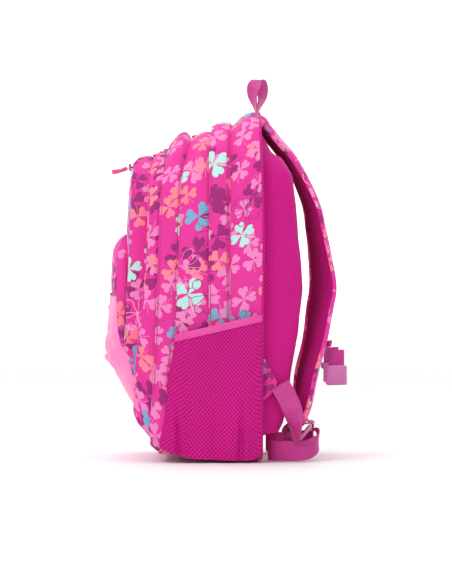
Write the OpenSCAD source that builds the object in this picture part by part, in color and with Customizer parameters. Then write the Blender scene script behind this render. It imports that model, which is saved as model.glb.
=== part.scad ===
/* [Bag] */
// Width across the rear gusset
bag_w = 300; // [240:1:370]
// Height of the back seam above the floor
bag_h = 436; // [360:1:530]
// Radius of the two upper corners
top_r = 92; // [60:1:110]
// Radius of the two lower corners
low_r = 26; // [15:1:28]
// Thickness of a sewn fabric panel
panel_t = 2; // [1.5:0.1:2.6]
// Thickness of light cloth, tape and netting
cloth_t = 1.2; // [0.8:0.1:1.6]

/* [Rear compartment] */
// Distance from the base centre to the inner face of the back panel
seam_y = 60; // [50:1:75]
// Thickness of the back panel
back_t = 4; // [3:0.5:6]
// Thickness of the stiff board behind the lining
board_t = 4; // [2:0.5:6]
// Where the main zip divides the bag, front to back
split_y = 6; // [0:1:10]
// Length of the cover over each zip, front to back
flap_w = 25; // [20:1:28]
// Play between the two halves of a zip
zip_gap = 0.6; // [0.5:0.1:1.2]
// Distance of the main hinge line in front of the base centre
main_hinge_y = 45; // [38:1:50]
// Height of the lower end of the main zip
main_zip_end = 70; // [60:1:90]

/* [Second compartment] */
// Top of the divider in front of the base centre
divider_y = 27; // [22:1:30]
// How much further forward the divider stands at its foot
divider_lean = 36; // [30:1:38]
// Top of the second zip in front of the base centre
second_y = 52; // [48:1:55]
// How much further forward the second zip stands at its foot
second_lean = 24; // [20:1:26]
// Height of the hinge line of the second compartment
second_hinge_z = 40; // [36:1:46]

/* [Front pockets] */
// Width of the upper pocket
upper_w = 256; // [210:1:262]
// Width of the lower pocket
lower_w = 244; // [200:1:254]
// Height of the slot for a pocket zip
pocket_zip_h = 6; // [5:0.5:8]
// Length of the upper pocket's zip
upper_zip_w = 150; // [120:1:160]
// Length of the lower pocket's zip
lower_zip_w = 182; // [150:1:200]

/* [Side pockets] */
// How far a side pocket stands out from the bag
side_pocket_d = 12; // [9:1:18]
// Height of the side pocket at its rear end
side_pocket_h = 184; // [150:1:220]
// Drop of the pocket mouth from rear to front
side_pocket_drop = 25; // [10:1:40]
// Height of the binding along the mouth
binding_h = 10; // [8:1:14]

/* [Back pads] */
// Outer edge of a back pad from the middle
pad_out = 136; // [110:1:142]
// Inner edge of a back pad from the middle
pad_in = 22; // [15:1:40]

/* [Straps] */
// Width of a shoulder strap
strap_w = 62; // [50:1:75]
// Thickness of a shoulder strap
strap_t = 12; // [9:0.5:14]
// Width of the webbing
webbing_w = 25; // [20:1:30]
// Thickness of the webbing
webbing_t = 1.6; // [1.2:0.1:2.2]
// Width of the sternum webbing
sternum_w = 20; // [15:1:25]

/* [Hardware] */
// Length of a zip slider along the zip
slider_l = 13; // [10:0.5:16]
// Width of a zip slider
slider_w = 9; // [7:0.5:11]
// Height of a zip slider
slider_h = 3.6; // [2.5:0.1:4]
// Length of a zip pull
pull_l = 22; // [15:1:26]
// Width of a zip pull
pull_w = 9; // [6:0.5:11]
// Radius of the bars of the adjuster
bar_r = 1.6; // [1.2:0.1:2]

/* [Hidden] */

print = [0.92, 0.2, 0.6];
mesh = [0.8, 0.1, 0.53];
tape = [0.78, 0.18, 0.55];
plain = [0.98, 0.49, 0.75];
plastic = [0.8, 0.35, 0.62];

far = 400;
corner_steps = 5;
rear_drop = 16;
opening_drop = 18;
opening_top = bag_h - opening_drop;
flap_lift = 3;
divider_top = bag_h - 32;
second_top = bag_h - 44;
second_flap_top = bag_h - 26;
front_top = bag_h - 57;
upper_top = bag_h - 55;
second_foot_y = second_y + second_lean;
side_x = bag_w / 2;
base_cut = low_r + 4;
front_lift = 8;
flap_out = 1;

// The outline of the bag from the front: low corners, then the two wide upper ones.
function corner(cx, cz, r, a0) =
    [for (i = [0 : corner_steps]) let (a = a0 + 90 * i / corner_steps) [cx + r * cos(a), cz + r * sin(a)]];
function arch(w, z0, z1, rt, rl) = concat(
    corner(w / 2 - rt, z1 - rt, rt, 0),
    corner(-w / 2 + rt, z1 - rt, rt, 90),
    corner(-w / 2 + rl, z0 + rl, rl, 180),
    corner(w / 2 - rl, z0 + rl, rl, 270)
);

// A side profile, given as [y, z] points, run from x0 to x1.
module across(profile, x0, x1) {
    translate([x0, 0, 0])
        rotate([90, 0, 90])
            linear_extrude(x1 - x0)
                polygon(profile);
}

// A front outline, given as [x, z] points, run the whole depth of the bag.
module through(outline) {
    translate([0, far, 0])
        rotate([90, 0, 0])
            linear_extrude(2 * far)
                polygon(outline);
}

// The solid inside a side profile and an arched outline.
module block(profile, w, z0, z1, inset = 0) {
    intersection() {
        across(profile, -w / 2 - 1, w / 2 + 1);
        through(
            arch(w - 2 * inset, z0 + inset, z1 - inset, top_r * w / bag_w - inset, max(low_r - inset, 2))
        );
    }
}

// A band of cloth round the bag, open front and back, whose top runs from rear to front.
module band(profile, rear, front, w, z0, t) {
    slope = (rear[1] - front[1]) / (rear[0] - front[0]);
    over = 80;
    top = max(rear[1], front[1]);
    inner = [
        [rear[0] + over, -over],
        [rear[0] + over, rear[1] - t + slope * over],
        [front[0] - over, front[1] - t - slope * over],
        [front[0] - over, -over]
    ];
    difference() {
        block(profile, w, z0, top);
        intersection() {
            block(inner, w, z0, top, t);
        }
    }
}

// A smooth run through stations; each is [x, y, z, width direction x, y, z].
function smooth(p, i, t) =
    let (
        a = p[max(i - 1, 0)],
        b = p[i],
        c = p[i + 1],
        d = p[min(i + 2, len(p) - 1)]
    )
    b + t * ((c - a) / 2 + t * ((2 * a - 5 * b + 4 * c - d) / 2 + t * (3 * b - a - 3 * c + d) / 2));
function run(p, n) = concat(
    [for (i = [0 : len(p) - 2]) for (k = [0 : n - 1]) smooth(p, i, k / n)],
    [p[len(p) - 1]]
);
function place(s) = [s[0], s[1], s[2]];
function unit(v) = v / norm(v);
function heading(r, i) = unit(place(r[min(i + 1, len(r) - 1)]) - place(r[max(i - 1, 0)]));
function spread(s, t) = let (w = [s[3], s[4], s[5]]) unit(w - (w * t) * t);

// A flat strip along stations: w wide, t thick, its middle moved off the run by off.
module strip(stations, w, t, off = 0, n = 3) {
    r = run(stations, n);
    m = len(r);
    points = [
        for (i = [0 : m - 1])
            let (h = heading(r, i), s = spread(r[i], h), up = cross(h, s), c = place(r[i]) + off * up)
                each [
                    c - s * w / 2 - up * t / 2, c + s * w / 2 - up * t / 2,
                    c + s * w / 2 + up * t / 2, c - s * w / 2 + up * t / 2
                ]
    ];
    sides = [
        for (i = [0 : m - 2]) for (k = [0 : 3])
            let (a = 4 * i + k, b = 4 * i + (k + 1) % 4)
                each [[a, a + 4, b], [b, a + 4, b + 4]]
    ];
    last = 4 * (m - 1);
    ends = [[0, 1, 2], [0, 2, 3], [last, last + 2, last + 1], [last, last + 3, last + 2]];
    polyhedron(points, concat(sides, ends));
}

module right_or_left(side) {
    if (side > 0) {
        children();
    } else {
        mirror([1, 0, 0]) children();
    }
}

// ---- Rear compartment ----

gusset_front_z = bag_h + 3 - rear_drop;
tape_rear_z = gusset_front_z - panel_t;
tape_edge_z = opening_top - 4.5;
inner_w = bag_w - 2 * panel_t;

module back_panel() {
    color(mesh)
        block(
            [[seam_y, 0], [seam_y, far * 2], [seam_y + back_t, far * 2], [seam_y + back_t, 0]],
            bag_w, 0, bag_h
        );
}

module back_board() {
    depth = [[seam_y - board_t, 0], [seam_y - board_t, far * 2], [seam_y, far * 2], [seam_y, 0]];
    color("lightgrey")
        block(depth, inner_w - 6, panel_t + 3, bag_h - 12);
}

module rear_gusset() {
    front = split_y + flap_w - 7;
    sides = [[seam_y, base_cut], [seam_y, bag_h + 3], [front, gusset_front_z], [front, base_cut]];
    color(print)
        band(sides, [seam_y, bag_h + 3], [front, gusset_front_z], bag_w, 0, panel_t);
}

// The floor of the bag, a tray that reaches forward to the main hinge line.
module base_panel() {
    tray = [[seam_y, 0], [seam_y, base_cut], [-main_hinge_y, base_cut], [-main_hinge_y, 0]];
    hinge_cut = [
        [split_y - zip_gap / 2, base_cut + 1], [split_y, main_zip_end], [-main_hinge_y - 1, main_zip_end],
        [-main_hinge_y - 1, front_lift], [-main_hinge_y, front_lift]
    ];
    color(print)
        difference() {
            band(tray, [seam_y, bag_h], [-main_hinge_y, bag_h], bag_w, 0, panel_t);
            across(hinge_cut, -far, far);
        }
}

module main_rain_flap() {
    rear = split_y + flap_w - 7;
    front = rear - flap_w;
    top = gusset_front_z + flap_out;
    lip = top + 2;
    sides = [[rear, base_cut], [rear, top], [front, lip], [front, base_cut]];
    color(print)
        band(sides, [rear, top], [front, lip], bag_w + 2 * flap_out, 0, cloth_t);
}

module main_zip_rear() {
    rear = split_y + flap_w - 7;
    edge = split_y + zip_gap / 2;
    sides = [[rear, base_cut], [rear, tape_rear_z], [edge, tape_edge_z], [edge, base_cut]];
    color(tape)
        band(sides, [rear, tape_rear_z], [edge, tape_edge_z], inner_w, 0, cloth_t);
}

// ---- Main front, which tips forward about the main hinge line ----

divider_foot = [-divider_y - divider_lean, 20];
function divider_at(z) =
    -divider_y - divider_lean * (divider_top - z) / (divider_top - divider_foot[1]);
function second_at(z) =
    -second_y - second_lean * (second_top - z) / (second_top - second_hinge_z);
main_tape_y = -3;

module main_zip_front() {
    edge = split_y - zip_gap / 2;
    top = tape_edge_z - 2;
    low = main_zip_end + 6;
    sides = [[edge, low], [edge, tape_edge_z], [main_tape_y, top], [main_tape_y, low]];
    color(tape)
        band(sides, [edge, tape_edge_z], [main_tape_y, top], inner_w, 0, cloth_t);
}

module main_front_gusset() {
    rear_z = opening_top - 4;
    sides = [
        [main_tape_y, main_zip_end + 6], [main_tape_y, rear_z], [-divider_y, divider_top],
        [divider_at(base_cut), base_cut], [-main_hinge_y + 16, base_cut]
    ];
    color(print)
        band(sides, [main_tape_y, rear_z], [-divider_y, divider_top], bag_w, front_lift, panel_t);
}

module front_base_panel() {
    tray = [
        [-main_hinge_y - zip_gap, front_lift], [-main_hinge_y - zip_gap, base_cut],
        [divider_at(base_cut), base_cut], [divider_at(front_lift), front_lift]
    ];
    color(print)
        band(tray, [-main_hinge_y, bag_h], [-second_foot_y, bag_h], bag_w, front_lift, panel_t);
}

module divider_panel() {
    t = cloth_t;
    leaf = [
        [divider_at(front_lift), front_lift], [divider_at(divider_top + 1), divider_top + 1],
        [divider_at(divider_top + 1) - t, divider_top + 1], [divider_at(front_lift) - t, front_lift]
    ];
    color(print)
        block(leaf, bag_w, front_lift, divider_top + 1);
}

module second_zip_rear() {
    t = cloth_t;
    low = second_hinge_z + 2;
    rear = [divider_at(divider_top - panel_t) - t, divider_top - panel_t];
    front = [-second_y + zip_gap, second_top];
    sides = [
        [divider_at(low) - t, low], rear, front, [second_at(low) + zip_gap, low]
    ];
    color(tape)
        band(sides, rear, front, inner_w, front_lift, t);
}

module second_rain_flap() {
    t = cloth_t;
    over = 2;
    low = second_hinge_z + 8;
    rear = [divider_at(divider_top + flap_out) - t - 0.05, divider_top + flap_out];
    front = [-second_y - over, second_flap_top];
    sides = [[divider_at(low) - t, low], rear, front, [second_at(low) - over, low]];
    color(print)
        band(sides, rear, front, bag_w + 2 * flap_out, front_lift, t);
}

// ---- Second compartment front, which tips forward about its own hinge line ----

tape_front = 8;
front_w = bag_w - 4;
front_z = [[-77, front_top], [-81, bag_h * 0.57], [-92, 142], [-98, 64], [-84, second_hinge_z + 2]];

module second_zip_front() {
    t = cloth_t;
    low = second_hinge_z + 8;
    rear = [-second_y - zip_gap, second_top];
    front = [-second_y - tape_front, second_top - 4];
    sides = [[second_at(low) - zip_gap, low], rear, front, [second_at(low) - tape_front, low]];
    color(tape)
        band(sides, rear, front, inner_w - 6, second_hinge_z, t);
}

module second_front_gusset() {
    rear = [-second_y - tape_front, second_top - 3];
    front = front_z[0];
    low = second_hinge_z;
    sides = concat(
        [[second_at(low) - tape_front / 2, low], [second_at(low + 8) - tape_front, low + 8], rear],
        front_z
    );
    color(print)
        band(sides, rear, front, front_w, low, panel_t);
}

module front_panel() {
    t = panel_t;
    outer = [for (p = front_z) [p[0] - t, p[1]]];
    inner = [for (i = [len(front_z) - 1 : -1 : 0]) front_z[i]];
    color(print)
        block(concat(outer, inner), front_w, second_hinge_z, front_top);
}

// ---- Front pockets ----

upper_low = 142;
lower_rise = 288;
lower_low = 70;
lower_panel_top = 207;
panel_edge = 10;
upper_zip_z = upper_top - 14;

function front_at(z) = lookup(z, [for (p = front_z) [p[1], p[0] - panel_t]]);
upper_face = [
    [-86, upper_top + 3], [-96, upper_top], [-101, upper_zip_z + pocket_zip_h], [-102, upper_zip_z - 4],
    [-106, lower_rise], [-107, 250], [-112, upper_low]
];
upper_rear = [[front_at(upper_low), upper_low], [front_at(250), 250], [front_at(upper_top), upper_top]];
lower_face = [
    [-110, lower_rise], [-119, 281], [-125, 266], [-127, 246], [-127, lower_panel_top + pocket_zip_h],
    [-127.5, lower_panel_top], [-131, 178], [-133, 145], [-131, 134], [-121, 112], [-110, 88],
    [-101, lower_low]
];
lower_rear = [
    [front_at(lower_low), lower_low], [front_at(upper_low), upper_low], [-112, upper_low], [-107, 250],
    [-106, lower_rise]
];

// A pocket's solid, and the same drawn in by t with its rear left open.
module pocket_solid(face, rear, w, t) {
    rear_open = [for (p = rear) [p[0] + (t > 0 ? 3 : 0), p[1] + (t > 0 && p == rear[0] ? t : 0)]];
    face_in = [for (i = [0 : len(face) - 1]) [face[i][0] + t * 1.2, face[i][1] - (i == 0 ? t : 0)]];
    low = min([for (p = rear) p[1]]);
    high = max([for (p = face) p[1]]);
    block(concat(face_in, rear_open), w, low, high, t);
}

module pocket_shell(face, rear, w, t) {
    difference() {
        pocket_solid(face, rear, w, 0);
        pocket_solid(face, rear, w, t);
    }
}

module zip_slot(z, w) {
    translate([-w / 2, -far / 2, z])
        cube([w, far / 2, pocket_zip_h]);
}

module upper_pocket() {
    color(print)
        difference() {
            pocket_shell(upper_face, upper_rear, upper_w, panel_t);
            zip_slot(upper_zip_z, upper_zip_w);
        }
}

module upper_pocket_zip() {
    color(tape)
        intersection() {
            pocket_shell(upper_face, upper_rear, upper_w, panel_t);
            zip_slot(upper_zip_z, upper_zip_w);
        }
}

// Everything in front of the pink panel's seam.
module lower_front() {
    translate([-lower_w / 2 + panel_edge, -far, lower_low + 4])
        cube([lower_w - 2 * panel_edge, far, lower_panel_top - lower_low - 4]);
}

module lower_skin() {
    face_band = concat(
        [for (p = lower_face) [p[0] - 1, p[1]]],
        [for (i = [len(lower_face) - 1 : -1 : 0]) [lower_face[i][0] + panel_t * 1.2, lower_face[i][1]]]
    );
    intersection() {
        pocket_shell(lower_face, lower_rear, lower_w, panel_t);
        across(face_band, -far, far);
        lower_front();
    }
}

module lower_pocket_gusset() {
    color(print)
        difference() {
            pocket_shell(lower_face, lower_rear, lower_w, panel_t);
            lower_skin();
            zip_slot(lower_panel_top, lower_zip_w);
        }
}

module lower_pocket_panel() {
    color(plain)
        lower_skin();
}

module lower_pocket_zip() {
    color(tape)
        intersection() {
            pocket_shell(lower_face, lower_rear, lower_w, panel_t);
            zip_slot(lower_panel_top, lower_zip_w);
        }
}

// ---- Side pockets ----

mouth_rear = [seam_y + 2, side_pocket_h];
mouth_front = [-46, side_pocket_h - side_pocket_drop];
pocket_clear = 0.6 + flap_out;

module side_pocket(side) {
    outer = [mouth_front, mouth_rear, [mouth_rear[0], 3], [-32, 3], [-66, 14], [-57, 60], [-54, 115]];
    inner = [
        [mouth_front[0] + 1.2, mouth_front[1] + 1], [mouth_rear[0] - 1.5, mouth_rear[1] + 1],
        [mouth_rear[0] - 1.5, 4.5], [-31, 4.5], [-64, 15.5], [-55.5, 60], [-52.5, 115]
    ];
    right_or_left(side)
        color(mesh)
            union() {
                difference() {
                    across(outer, side_x + pocket_clear, side_x + side_pocket_d);
                    across(inner, side_x, side_x + side_pocket_d - cloth_t);
                }
                translate([side_x, seam_y - 8, 3])
                    cube([side_pocket_d / 2, back_t + 4, side_pocket_h - 4]);
            }
}

module pocket_binding(side) {
    hem = [mouth_front, mouth_rear, mouth_rear + [0, binding_h], mouth_front + [0, binding_h]];
    right_or_left(side)
        color(plain)
            across(hem, side_x + side_pocket_d - cloth_t - 0.4, side_x + side_pocket_d + 0.4);
}

// ---- Back pads and yoke ----

pad_face = [
    [64, 0.94], [67, 0.925], [75, 0.888], [90, 0.872], [100, 0.82], [105, 0.74], [108, 0.65], [112, 0.56],
    [113, 0.49], [108, 0.37], [100, 0.27], [96, 0.21], [90, 0.11], [84, 0.075], [64, 0.075]
];
back_face = seam_y + back_t;
// A pad is a bowed sheet of foam this thick, with air behind its middle.
pad_foam = 12;

module back_pad(side) {
    face = [for (p = pad_face) [p[0] + back_face - 64, p[1] * bag_h]];
    behind = [for (p = face) [p[0] - pad_foam, p[1]]];
    right_or_left(side)
        color(mesh)
            difference() {
                intersection() {
                    across(face, pad_in, pad_out);
                    through(arch(bag_w - 4, 10, bag_h - 6, top_r, low_r));
                }
                across(behind, pad_in - 1, pad_out + 1);
            }
}

module lumbar_pad() {
    profile = [
        [back_face, 150], [back_face + 12, 146], [back_face + 20, 130], [back_face + 20, 80],
        [back_face + 12, 62], [back_face, 58]
    ];
    color(mesh)
        across(profile, -pad_in + 0.5, pad_in - 0.5);
}

module strap_yoke() {
    yoke_w = 2 * (strap_x + strap_w / 2) + 8;
    profile = [
        [back_face, bag_h - 1], [back_face + 4, bag_h - 3], [back_face + 10, bag_h - 12],
        [back_face + 8, bag_h - 15], [back_face, bag_h - 13]
    ];
    color(print)
        across(profile, -yoke_w / 2, yoke_w / 2);
}

module lower_tab(side) {
    tab = [
        [back_face, 128], [back_face + 7, 118], [back_face + 17, 100], [back_face + 14, 90], [back_face, 78]
    ];
    right_or_left(side)
        color(print)
            across(tab, side_x - 12, side_x - 9);
}

// ---- Haul handle ----

handle_seat = bag_h + 4;
loop = [
    [24, 57, handle_seat, 1, 0, 0], [22, 55, bag_h + 14, 1, 0.25, 0], [18, 52, bag_h + 29, 0.8, 0.6, 0],
    [10, 54, bag_h + 43, 0.4, 0.9, -0.3], [0, 59, bag_h + 47, 0, 1, 0],
    [-10, 63, bag_h + 43, -0.4, 0.9, 0.3], [-18, 65, bag_h + 29, -0.8, 0.6, 0],
    [-22, 60, bag_h + 14, -1, 0.25, 0], [-24, 57, handle_seat, -1, 0, 0]
];

module haul_handle() {
    color(tape)
        strip(loop, webbing_w * 0.8, webbing_t, 0, 4);
}

// ---- Shoulder straps ----

strap_x = 48;
strap_run = [
    [strap_x, 76, 0.936, 1, 0, 0], [strap_x + 1, 85, 0.912, 1, 0, 0],
    [strap_x + 2, 102, 0.862, 1, 0.05, 0],
    [strap_x + 6, 124, 0.748, 0.98, 0.2, 0], [strap_x + 10, 132, 0.658, 0.96, 0.27, 0],
    [strap_x + 16, 138.5, 0.557, 0.93, 0.36, 0], [strap_x + 21, 140.5, 0.493, 0.91, 0.42, 0],
    [strap_x + 26, 137, 0.44, 0.91, 0.4, 0], [strap_x + 32, 132.5, 0.372, 0.93, 0.36, 0],
    [strap_x + 37, 128, 0.323, 0.94, 0.33, 0], [strap_x + 45, 119.5, 0.25, 0.95, 0.3, 0],
    [strap_x + 53, 113.5, 0.163, 0.97, 0.22, 0], [strap_x + 57, 106.5, 0.108, 0.99, 0.14, 0]
];
// The stations are drawn for a strap this thick.
drawn_t = 12;
strap_shift = back_face - 64 + (strap_t - drawn_t) / 2;
strap_path = [for (s = strap_run) [s[0], s[1] + strap_shift, s[2] * bag_h, s[3], s[4], s[5]]];
cover_t = 1.6;
cover_clear = 1.4;
cover_at = (strap_t + cover_t) / 2 + cover_clear;

module strap_foam(side) {
    right_or_left(side)
        color(mesh)
            strip(strap_path, strap_w, strap_t, 0, 2);
}

module strap_cover(side) {
    right_or_left(side)
        color(print)
            strip(strap_path, strap_w - 2, cover_t, cover_side * cover_at, 3);
}
cover_side = -1;

// The keeper hangs from the strap's end and holds the adjuster's lower bar.
adjuster_x = strap_x + 59;
tip = strap_path[len(strap_path) - 1];
adjuster_at = [back_face + 51, tip[2] - 13];
adjuster_lean = 50;
bar_gap = 11;

module strap_keeper(side) {
    top = tip[2] + 5;
    keeper = [
        [adjuster_x, tip[1] + strap_t / 2 + cover_t + 6.5, top - 1, 1, 0, 0],
        [adjuster_x, tip[1] + strap_t / 2 + cover_t + 9, top - 1.5, 1, 0, 0],
        [adjuster_x, adjuster_at[0] + 9.5, adjuster_at[1] + 13, 1, 0, 0]
    ];
    right_or_left(side)
        color(tape)
            strip(keeper, webbing_w - 2, webbing_t, 0, 3);
}

module adjuster(side) {
    rail = webbing_w / 2 + 1;
    right_or_left(side)
        color(plastic)
            translate([adjuster_x, adjuster_at[0], adjuster_at[1]])
                rotate([adjuster_lean, 0, 0])
                    union() {
                        for (i = [-1 : 1])
                            translate([-rail - 3, i * bar_gap, 0])
                                rotate([0, 90, 0])
                                    cylinder(h = 2 * rail + 6, r = bar_r, $fn = 24);
                        for (s = [-1, 1])
                            translate([s * (rail + 2) - 2, -bar_gap - 3, -2])
                                cube([4, 2 * bar_gap + 6, 4]);
                    }
}

// The webbing's free end stands on its edge on the floor.
tail_z = webbing_w / 2 + 1.3;
clip = adjuster_at[1];
webbing_path = [
    [144, 84, clip + 63, 0, 0.6, 0.8], [145, 93, clip + 48, 0, 0.7, 0.7],
    [144.5, 101, clip + 28, 0.3, 0.7, 0.6], [138, 103, clip + 8, 0.8, 0.4, 0.3],
    [122, 102, clip - 4, 1, 0.1, 0.1], [adjuster_x, 103, clip - 8, 1, 0, 0],
    [adjuster_x, 108.4, clip - 1.6, 1, 0, 0], [adjuster_x, 112.2, clip + 3, 1, 0, 0],
    [adjuster_x, 118.5, clip + 4.2, 1, 0, 0], [adjuster_x, 124, clip + 4.3, 1, 0, 0],
    [adjuster_x, 129, clip + 4.6, 1, 0, 0], [111, 133, clip - 1, 0.8, 0.1, 0.6],
    [119, 131.5, clip - 10, 0.4, 0, 0.9], [125, 121, 16, 0.15, 0, 1], [127, 106, tail_z, 0, 0, 1],
    [124, 88, tail_z, 0, 0, 1], [116, 73, tail_z, 0, 0, 1], [106, 71.5, tail_z, 0, 0, 1],
    [100, 82, tail_z, 0, 0, 1], [99, 95, tail_z, 0, 0, 1]
];

module lower_webbing(side) {
    right_or_left(side)
        color(tape)
            strip([for (s = webbing_path) [s[0], s[1] + back_face - 64, s[2], s[3], s[4], s[5]]],
                webbing_w, webbing_t, 0, 3);
}

// ---- Sternum strap ----

anchor_station = 9;
anchor_off = strap_t / 2 + cover_t + cover_clear + 0.3;
sternum_side = 17;
sternum_lean = 14;
sternum_turn = 55;
sternum_l = 20;
sternum_out = 4;

// The frame on a strap's outer face: X across it, Y away from it, Z up along it.
module on_strap(side) {
    h = heading(strap_path, anchor_station);
    s = spread(strap_path[anchor_station], h);
    up = cross(h, s);
    c = place(strap_path[anchor_station]) + s * sternum_side - up * anchor_off;
    right_or_left(side)
        multmatrix([
            [s[0], -up[0], -h[0], c[0]],
            [s[1], -up[1], -h[1], c[1]],
            [s[2], -up[2], -h[2], c[2]],
            [0, 0, 0, 1]
        ])
            children();
}

module sternum_anchor(side) {
    on_strap(side)
        color(tape)
            translate([-sternum_w / 2, 0, 3])
                cube([sternum_w, sternum_out - 1, 8]);
}

module sternum_frame(side) {
    on_strap(side)
        translate([0, sternum_out, 0])
            rotate([sternum_lean, 0, 0])
                rotate([0, 0, sternum_turn])
                    translate([sternum_w / 2, 0, 0])
                        children();
}

module sternum_webbing(side) {
    color(tape)
        sternum_frame(side)
            translate([-sternum_w / 2, 0, -sternum_l])
                cube([sternum_w, webbing_t, sternum_l]);
}

module buckle_base(side) {
    sternum_frame(side)
        translate([0, webbing_t / 2, -sternum_l - 0.1])
            children();
}

module buckle_socket() {
    color(plastic)
        buckle_base(1)
            difference() {
                translate([-13, -4.5, -24])
                    cube([26, 9, 24]);
                translate([-10, -2.5, -25])
                    cube([20, 5, 20]);
            }
}

module buckle_plug() {
    color(plastic)
        buckle_base(-1)
            union() {
                translate([-13, -3.5, -8])
                    cube([26, 7, 8]);
                for (s = [-1, 0, 1])
                    translate([s * 8.5 - 1.5, -2, -26])
                        cube([3, 4, 18.5]);
            }
}

// ---- Zip sliders and pulls ----

slider_seat = 0.4;
pull_t = 1;

// A slider whose middle stands at [x, y, z], its nose pointing forward.
module slider(x, y, z, tilt) {
    translate([x, y, z])
        rotate([tilt, 0, 0])
            color(plastic)
                union() {
                    translate([-slider_l / 2, -slider_w / 2, 0])
                        cube([slider_l, slider_w, slider_h - 1]);
                    translate([-slider_l / 4, -slider_w / 2 + 1, slider_h - 1])
                        cube([slider_l / 2, slider_w - 2, 1]);
                }
}

module pull(x, y, z, tilt, l = pull_l) {
    translate([x, y, z])
        rotate([tilt, 0, 0])
            color(plain)
                translate([-pull_w / 2, -l, -pull_t / 2])
                    cube([pull_w, l, pull_t]);
}

main_pull_at = [main_tape_y - 1, opening_top - 0.5];
second_pull_l = 15;
second_pull_at = [-second_y - tape_front - 2, second_top + 1];
main_pair = slider_l / 2 + 1;
upper_slider_x = upper_zip_w / 2 - slider_l;
lower_slider_x = -lower_zip_w / 2 + slider_l;

module main_slider(side) {
    slider(side * main_pair, split_y - 4.3, tape_edge_z + slider_seat, 0);
}
module main_pull(side) {
    pull(side * main_pair, main_pull_at[0] - 3, main_pull_at[1], 24);
}
module second_slider(side) {
    slider(side * main_pair, -second_y - 6, second_top + slider_seat, 0);
}
module second_pull(side) {
    pull(side * main_pair, second_pull_at[0] - 3, second_pull_at[1], 37, second_pull_l);
}
module upper_slider() {
    slider(upper_slider_x, -102.5, upper_zip_z + pocket_zip_h / 2, 90);
}
module upper_pull() {
    pull(upper_slider_x, -107.5, upper_zip_z + pocket_zip_h / 2, 20);
}
module lower_slider() {
    slider(lower_slider_x, -128.4, lower_panel_top + pocket_zip_h / 2, 90);
}
module lower_pull() {
    pull(lower_slider_x, -133.5, lower_panel_top + pocket_zip_h / 2, 80);
}

back_panel();
back_board();
rear_gusset();
base_panel();
main_rain_flap();
main_zip_rear();
back_pad(-1);  // back_pad_left
back_pad(1);  // back_pad_right
lumbar_pad();
strap_yoke();
side_pocket(-1);  // side_pocket_left
side_pocket(1);  // side_pocket_right
pocket_binding(-1);  // pocket_binding_left
pocket_binding(1);  // pocket_binding_right
lower_tab(-1);  // lower_tab_left
lower_tab(1);  // lower_tab_right
haul_handle();
main_zip_front();
main_front_gusset();
divider_panel();
front_base_panel();
second_rain_flap();
second_zip_rear();
second_zip_front();
second_front_gusset();
front_panel();
upper_pocket();
upper_pocket_zip();
lower_pocket_gusset();
lower_pocket_panel();
lower_pocket_zip();
strap_foam(-1);  // strap_foam_left
strap_foam(1);  // strap_foam_right
strap_cover(-1);  // strap_cover_left
strap_cover(1);  // strap_cover_right
strap_keeper(-1);  // strap_keeper_left
strap_keeper(1);  // strap_keeper_right
adjuster(-1);  // adjuster_left
adjuster(1);  // adjuster_right
lower_webbing(-1);  // lower_webbing_left
lower_webbing(1);  // lower_webbing_right
sternum_anchor(-1);  // sternum_anchor_left
sternum_anchor(1);  // sternum_anchor_right
sternum_webbing(-1);  // sternum_webbing_left
sternum_webbing(1);  // sternum_webbing_right
buckle_socket();
buckle_plug();
main_slider(-1);  // main_slider_left
main_slider(1);  // main_slider_right
main_pull(-1);  // main_pull_left
main_pull(1);  // main_pull_right
second_slider(-1);  // second_slider_left
second_slider(1);  // second_slider_right
second_pull(-1);  // second_pull_left
second_pull(1);  // second_pull_right
upper_slider();
upper_pull();
lower_slider();
lower_pull();
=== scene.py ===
import math

import bpy
from bpy.props import FloatProperty, FloatVectorProperty, IntProperty, PointerProperty
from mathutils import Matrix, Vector, noise


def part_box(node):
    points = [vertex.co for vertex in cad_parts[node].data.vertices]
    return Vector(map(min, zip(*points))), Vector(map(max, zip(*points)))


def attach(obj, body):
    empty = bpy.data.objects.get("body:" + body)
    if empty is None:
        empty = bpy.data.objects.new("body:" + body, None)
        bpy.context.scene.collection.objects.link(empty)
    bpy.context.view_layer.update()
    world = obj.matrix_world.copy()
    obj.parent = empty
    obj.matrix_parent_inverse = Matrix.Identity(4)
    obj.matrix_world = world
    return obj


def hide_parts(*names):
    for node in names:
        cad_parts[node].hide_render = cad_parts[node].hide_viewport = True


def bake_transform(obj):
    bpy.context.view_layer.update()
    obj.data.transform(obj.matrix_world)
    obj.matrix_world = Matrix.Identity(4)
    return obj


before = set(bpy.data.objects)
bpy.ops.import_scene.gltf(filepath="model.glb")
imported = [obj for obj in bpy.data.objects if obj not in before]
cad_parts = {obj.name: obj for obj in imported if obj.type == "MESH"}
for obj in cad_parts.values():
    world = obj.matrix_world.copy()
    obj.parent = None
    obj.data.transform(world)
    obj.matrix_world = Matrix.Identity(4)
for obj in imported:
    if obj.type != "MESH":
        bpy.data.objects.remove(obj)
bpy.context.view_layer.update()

bl_info = {
    "name": "School backpack",
    "version": (1, 0, 0),
    "blender": (4, 5, 0),
    "location": "View3D > Sidebar > Backpack",
    "description": "Sewn cloth, padding, webbing and hardware of a school backpack",
    "category": "Object",
}

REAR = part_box("rear_gusset")
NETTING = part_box("side_pocket_right")
SIDE = REAR[1].x
TAU = 2 * math.pi


# ---- Settings that a user would change ----

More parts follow.
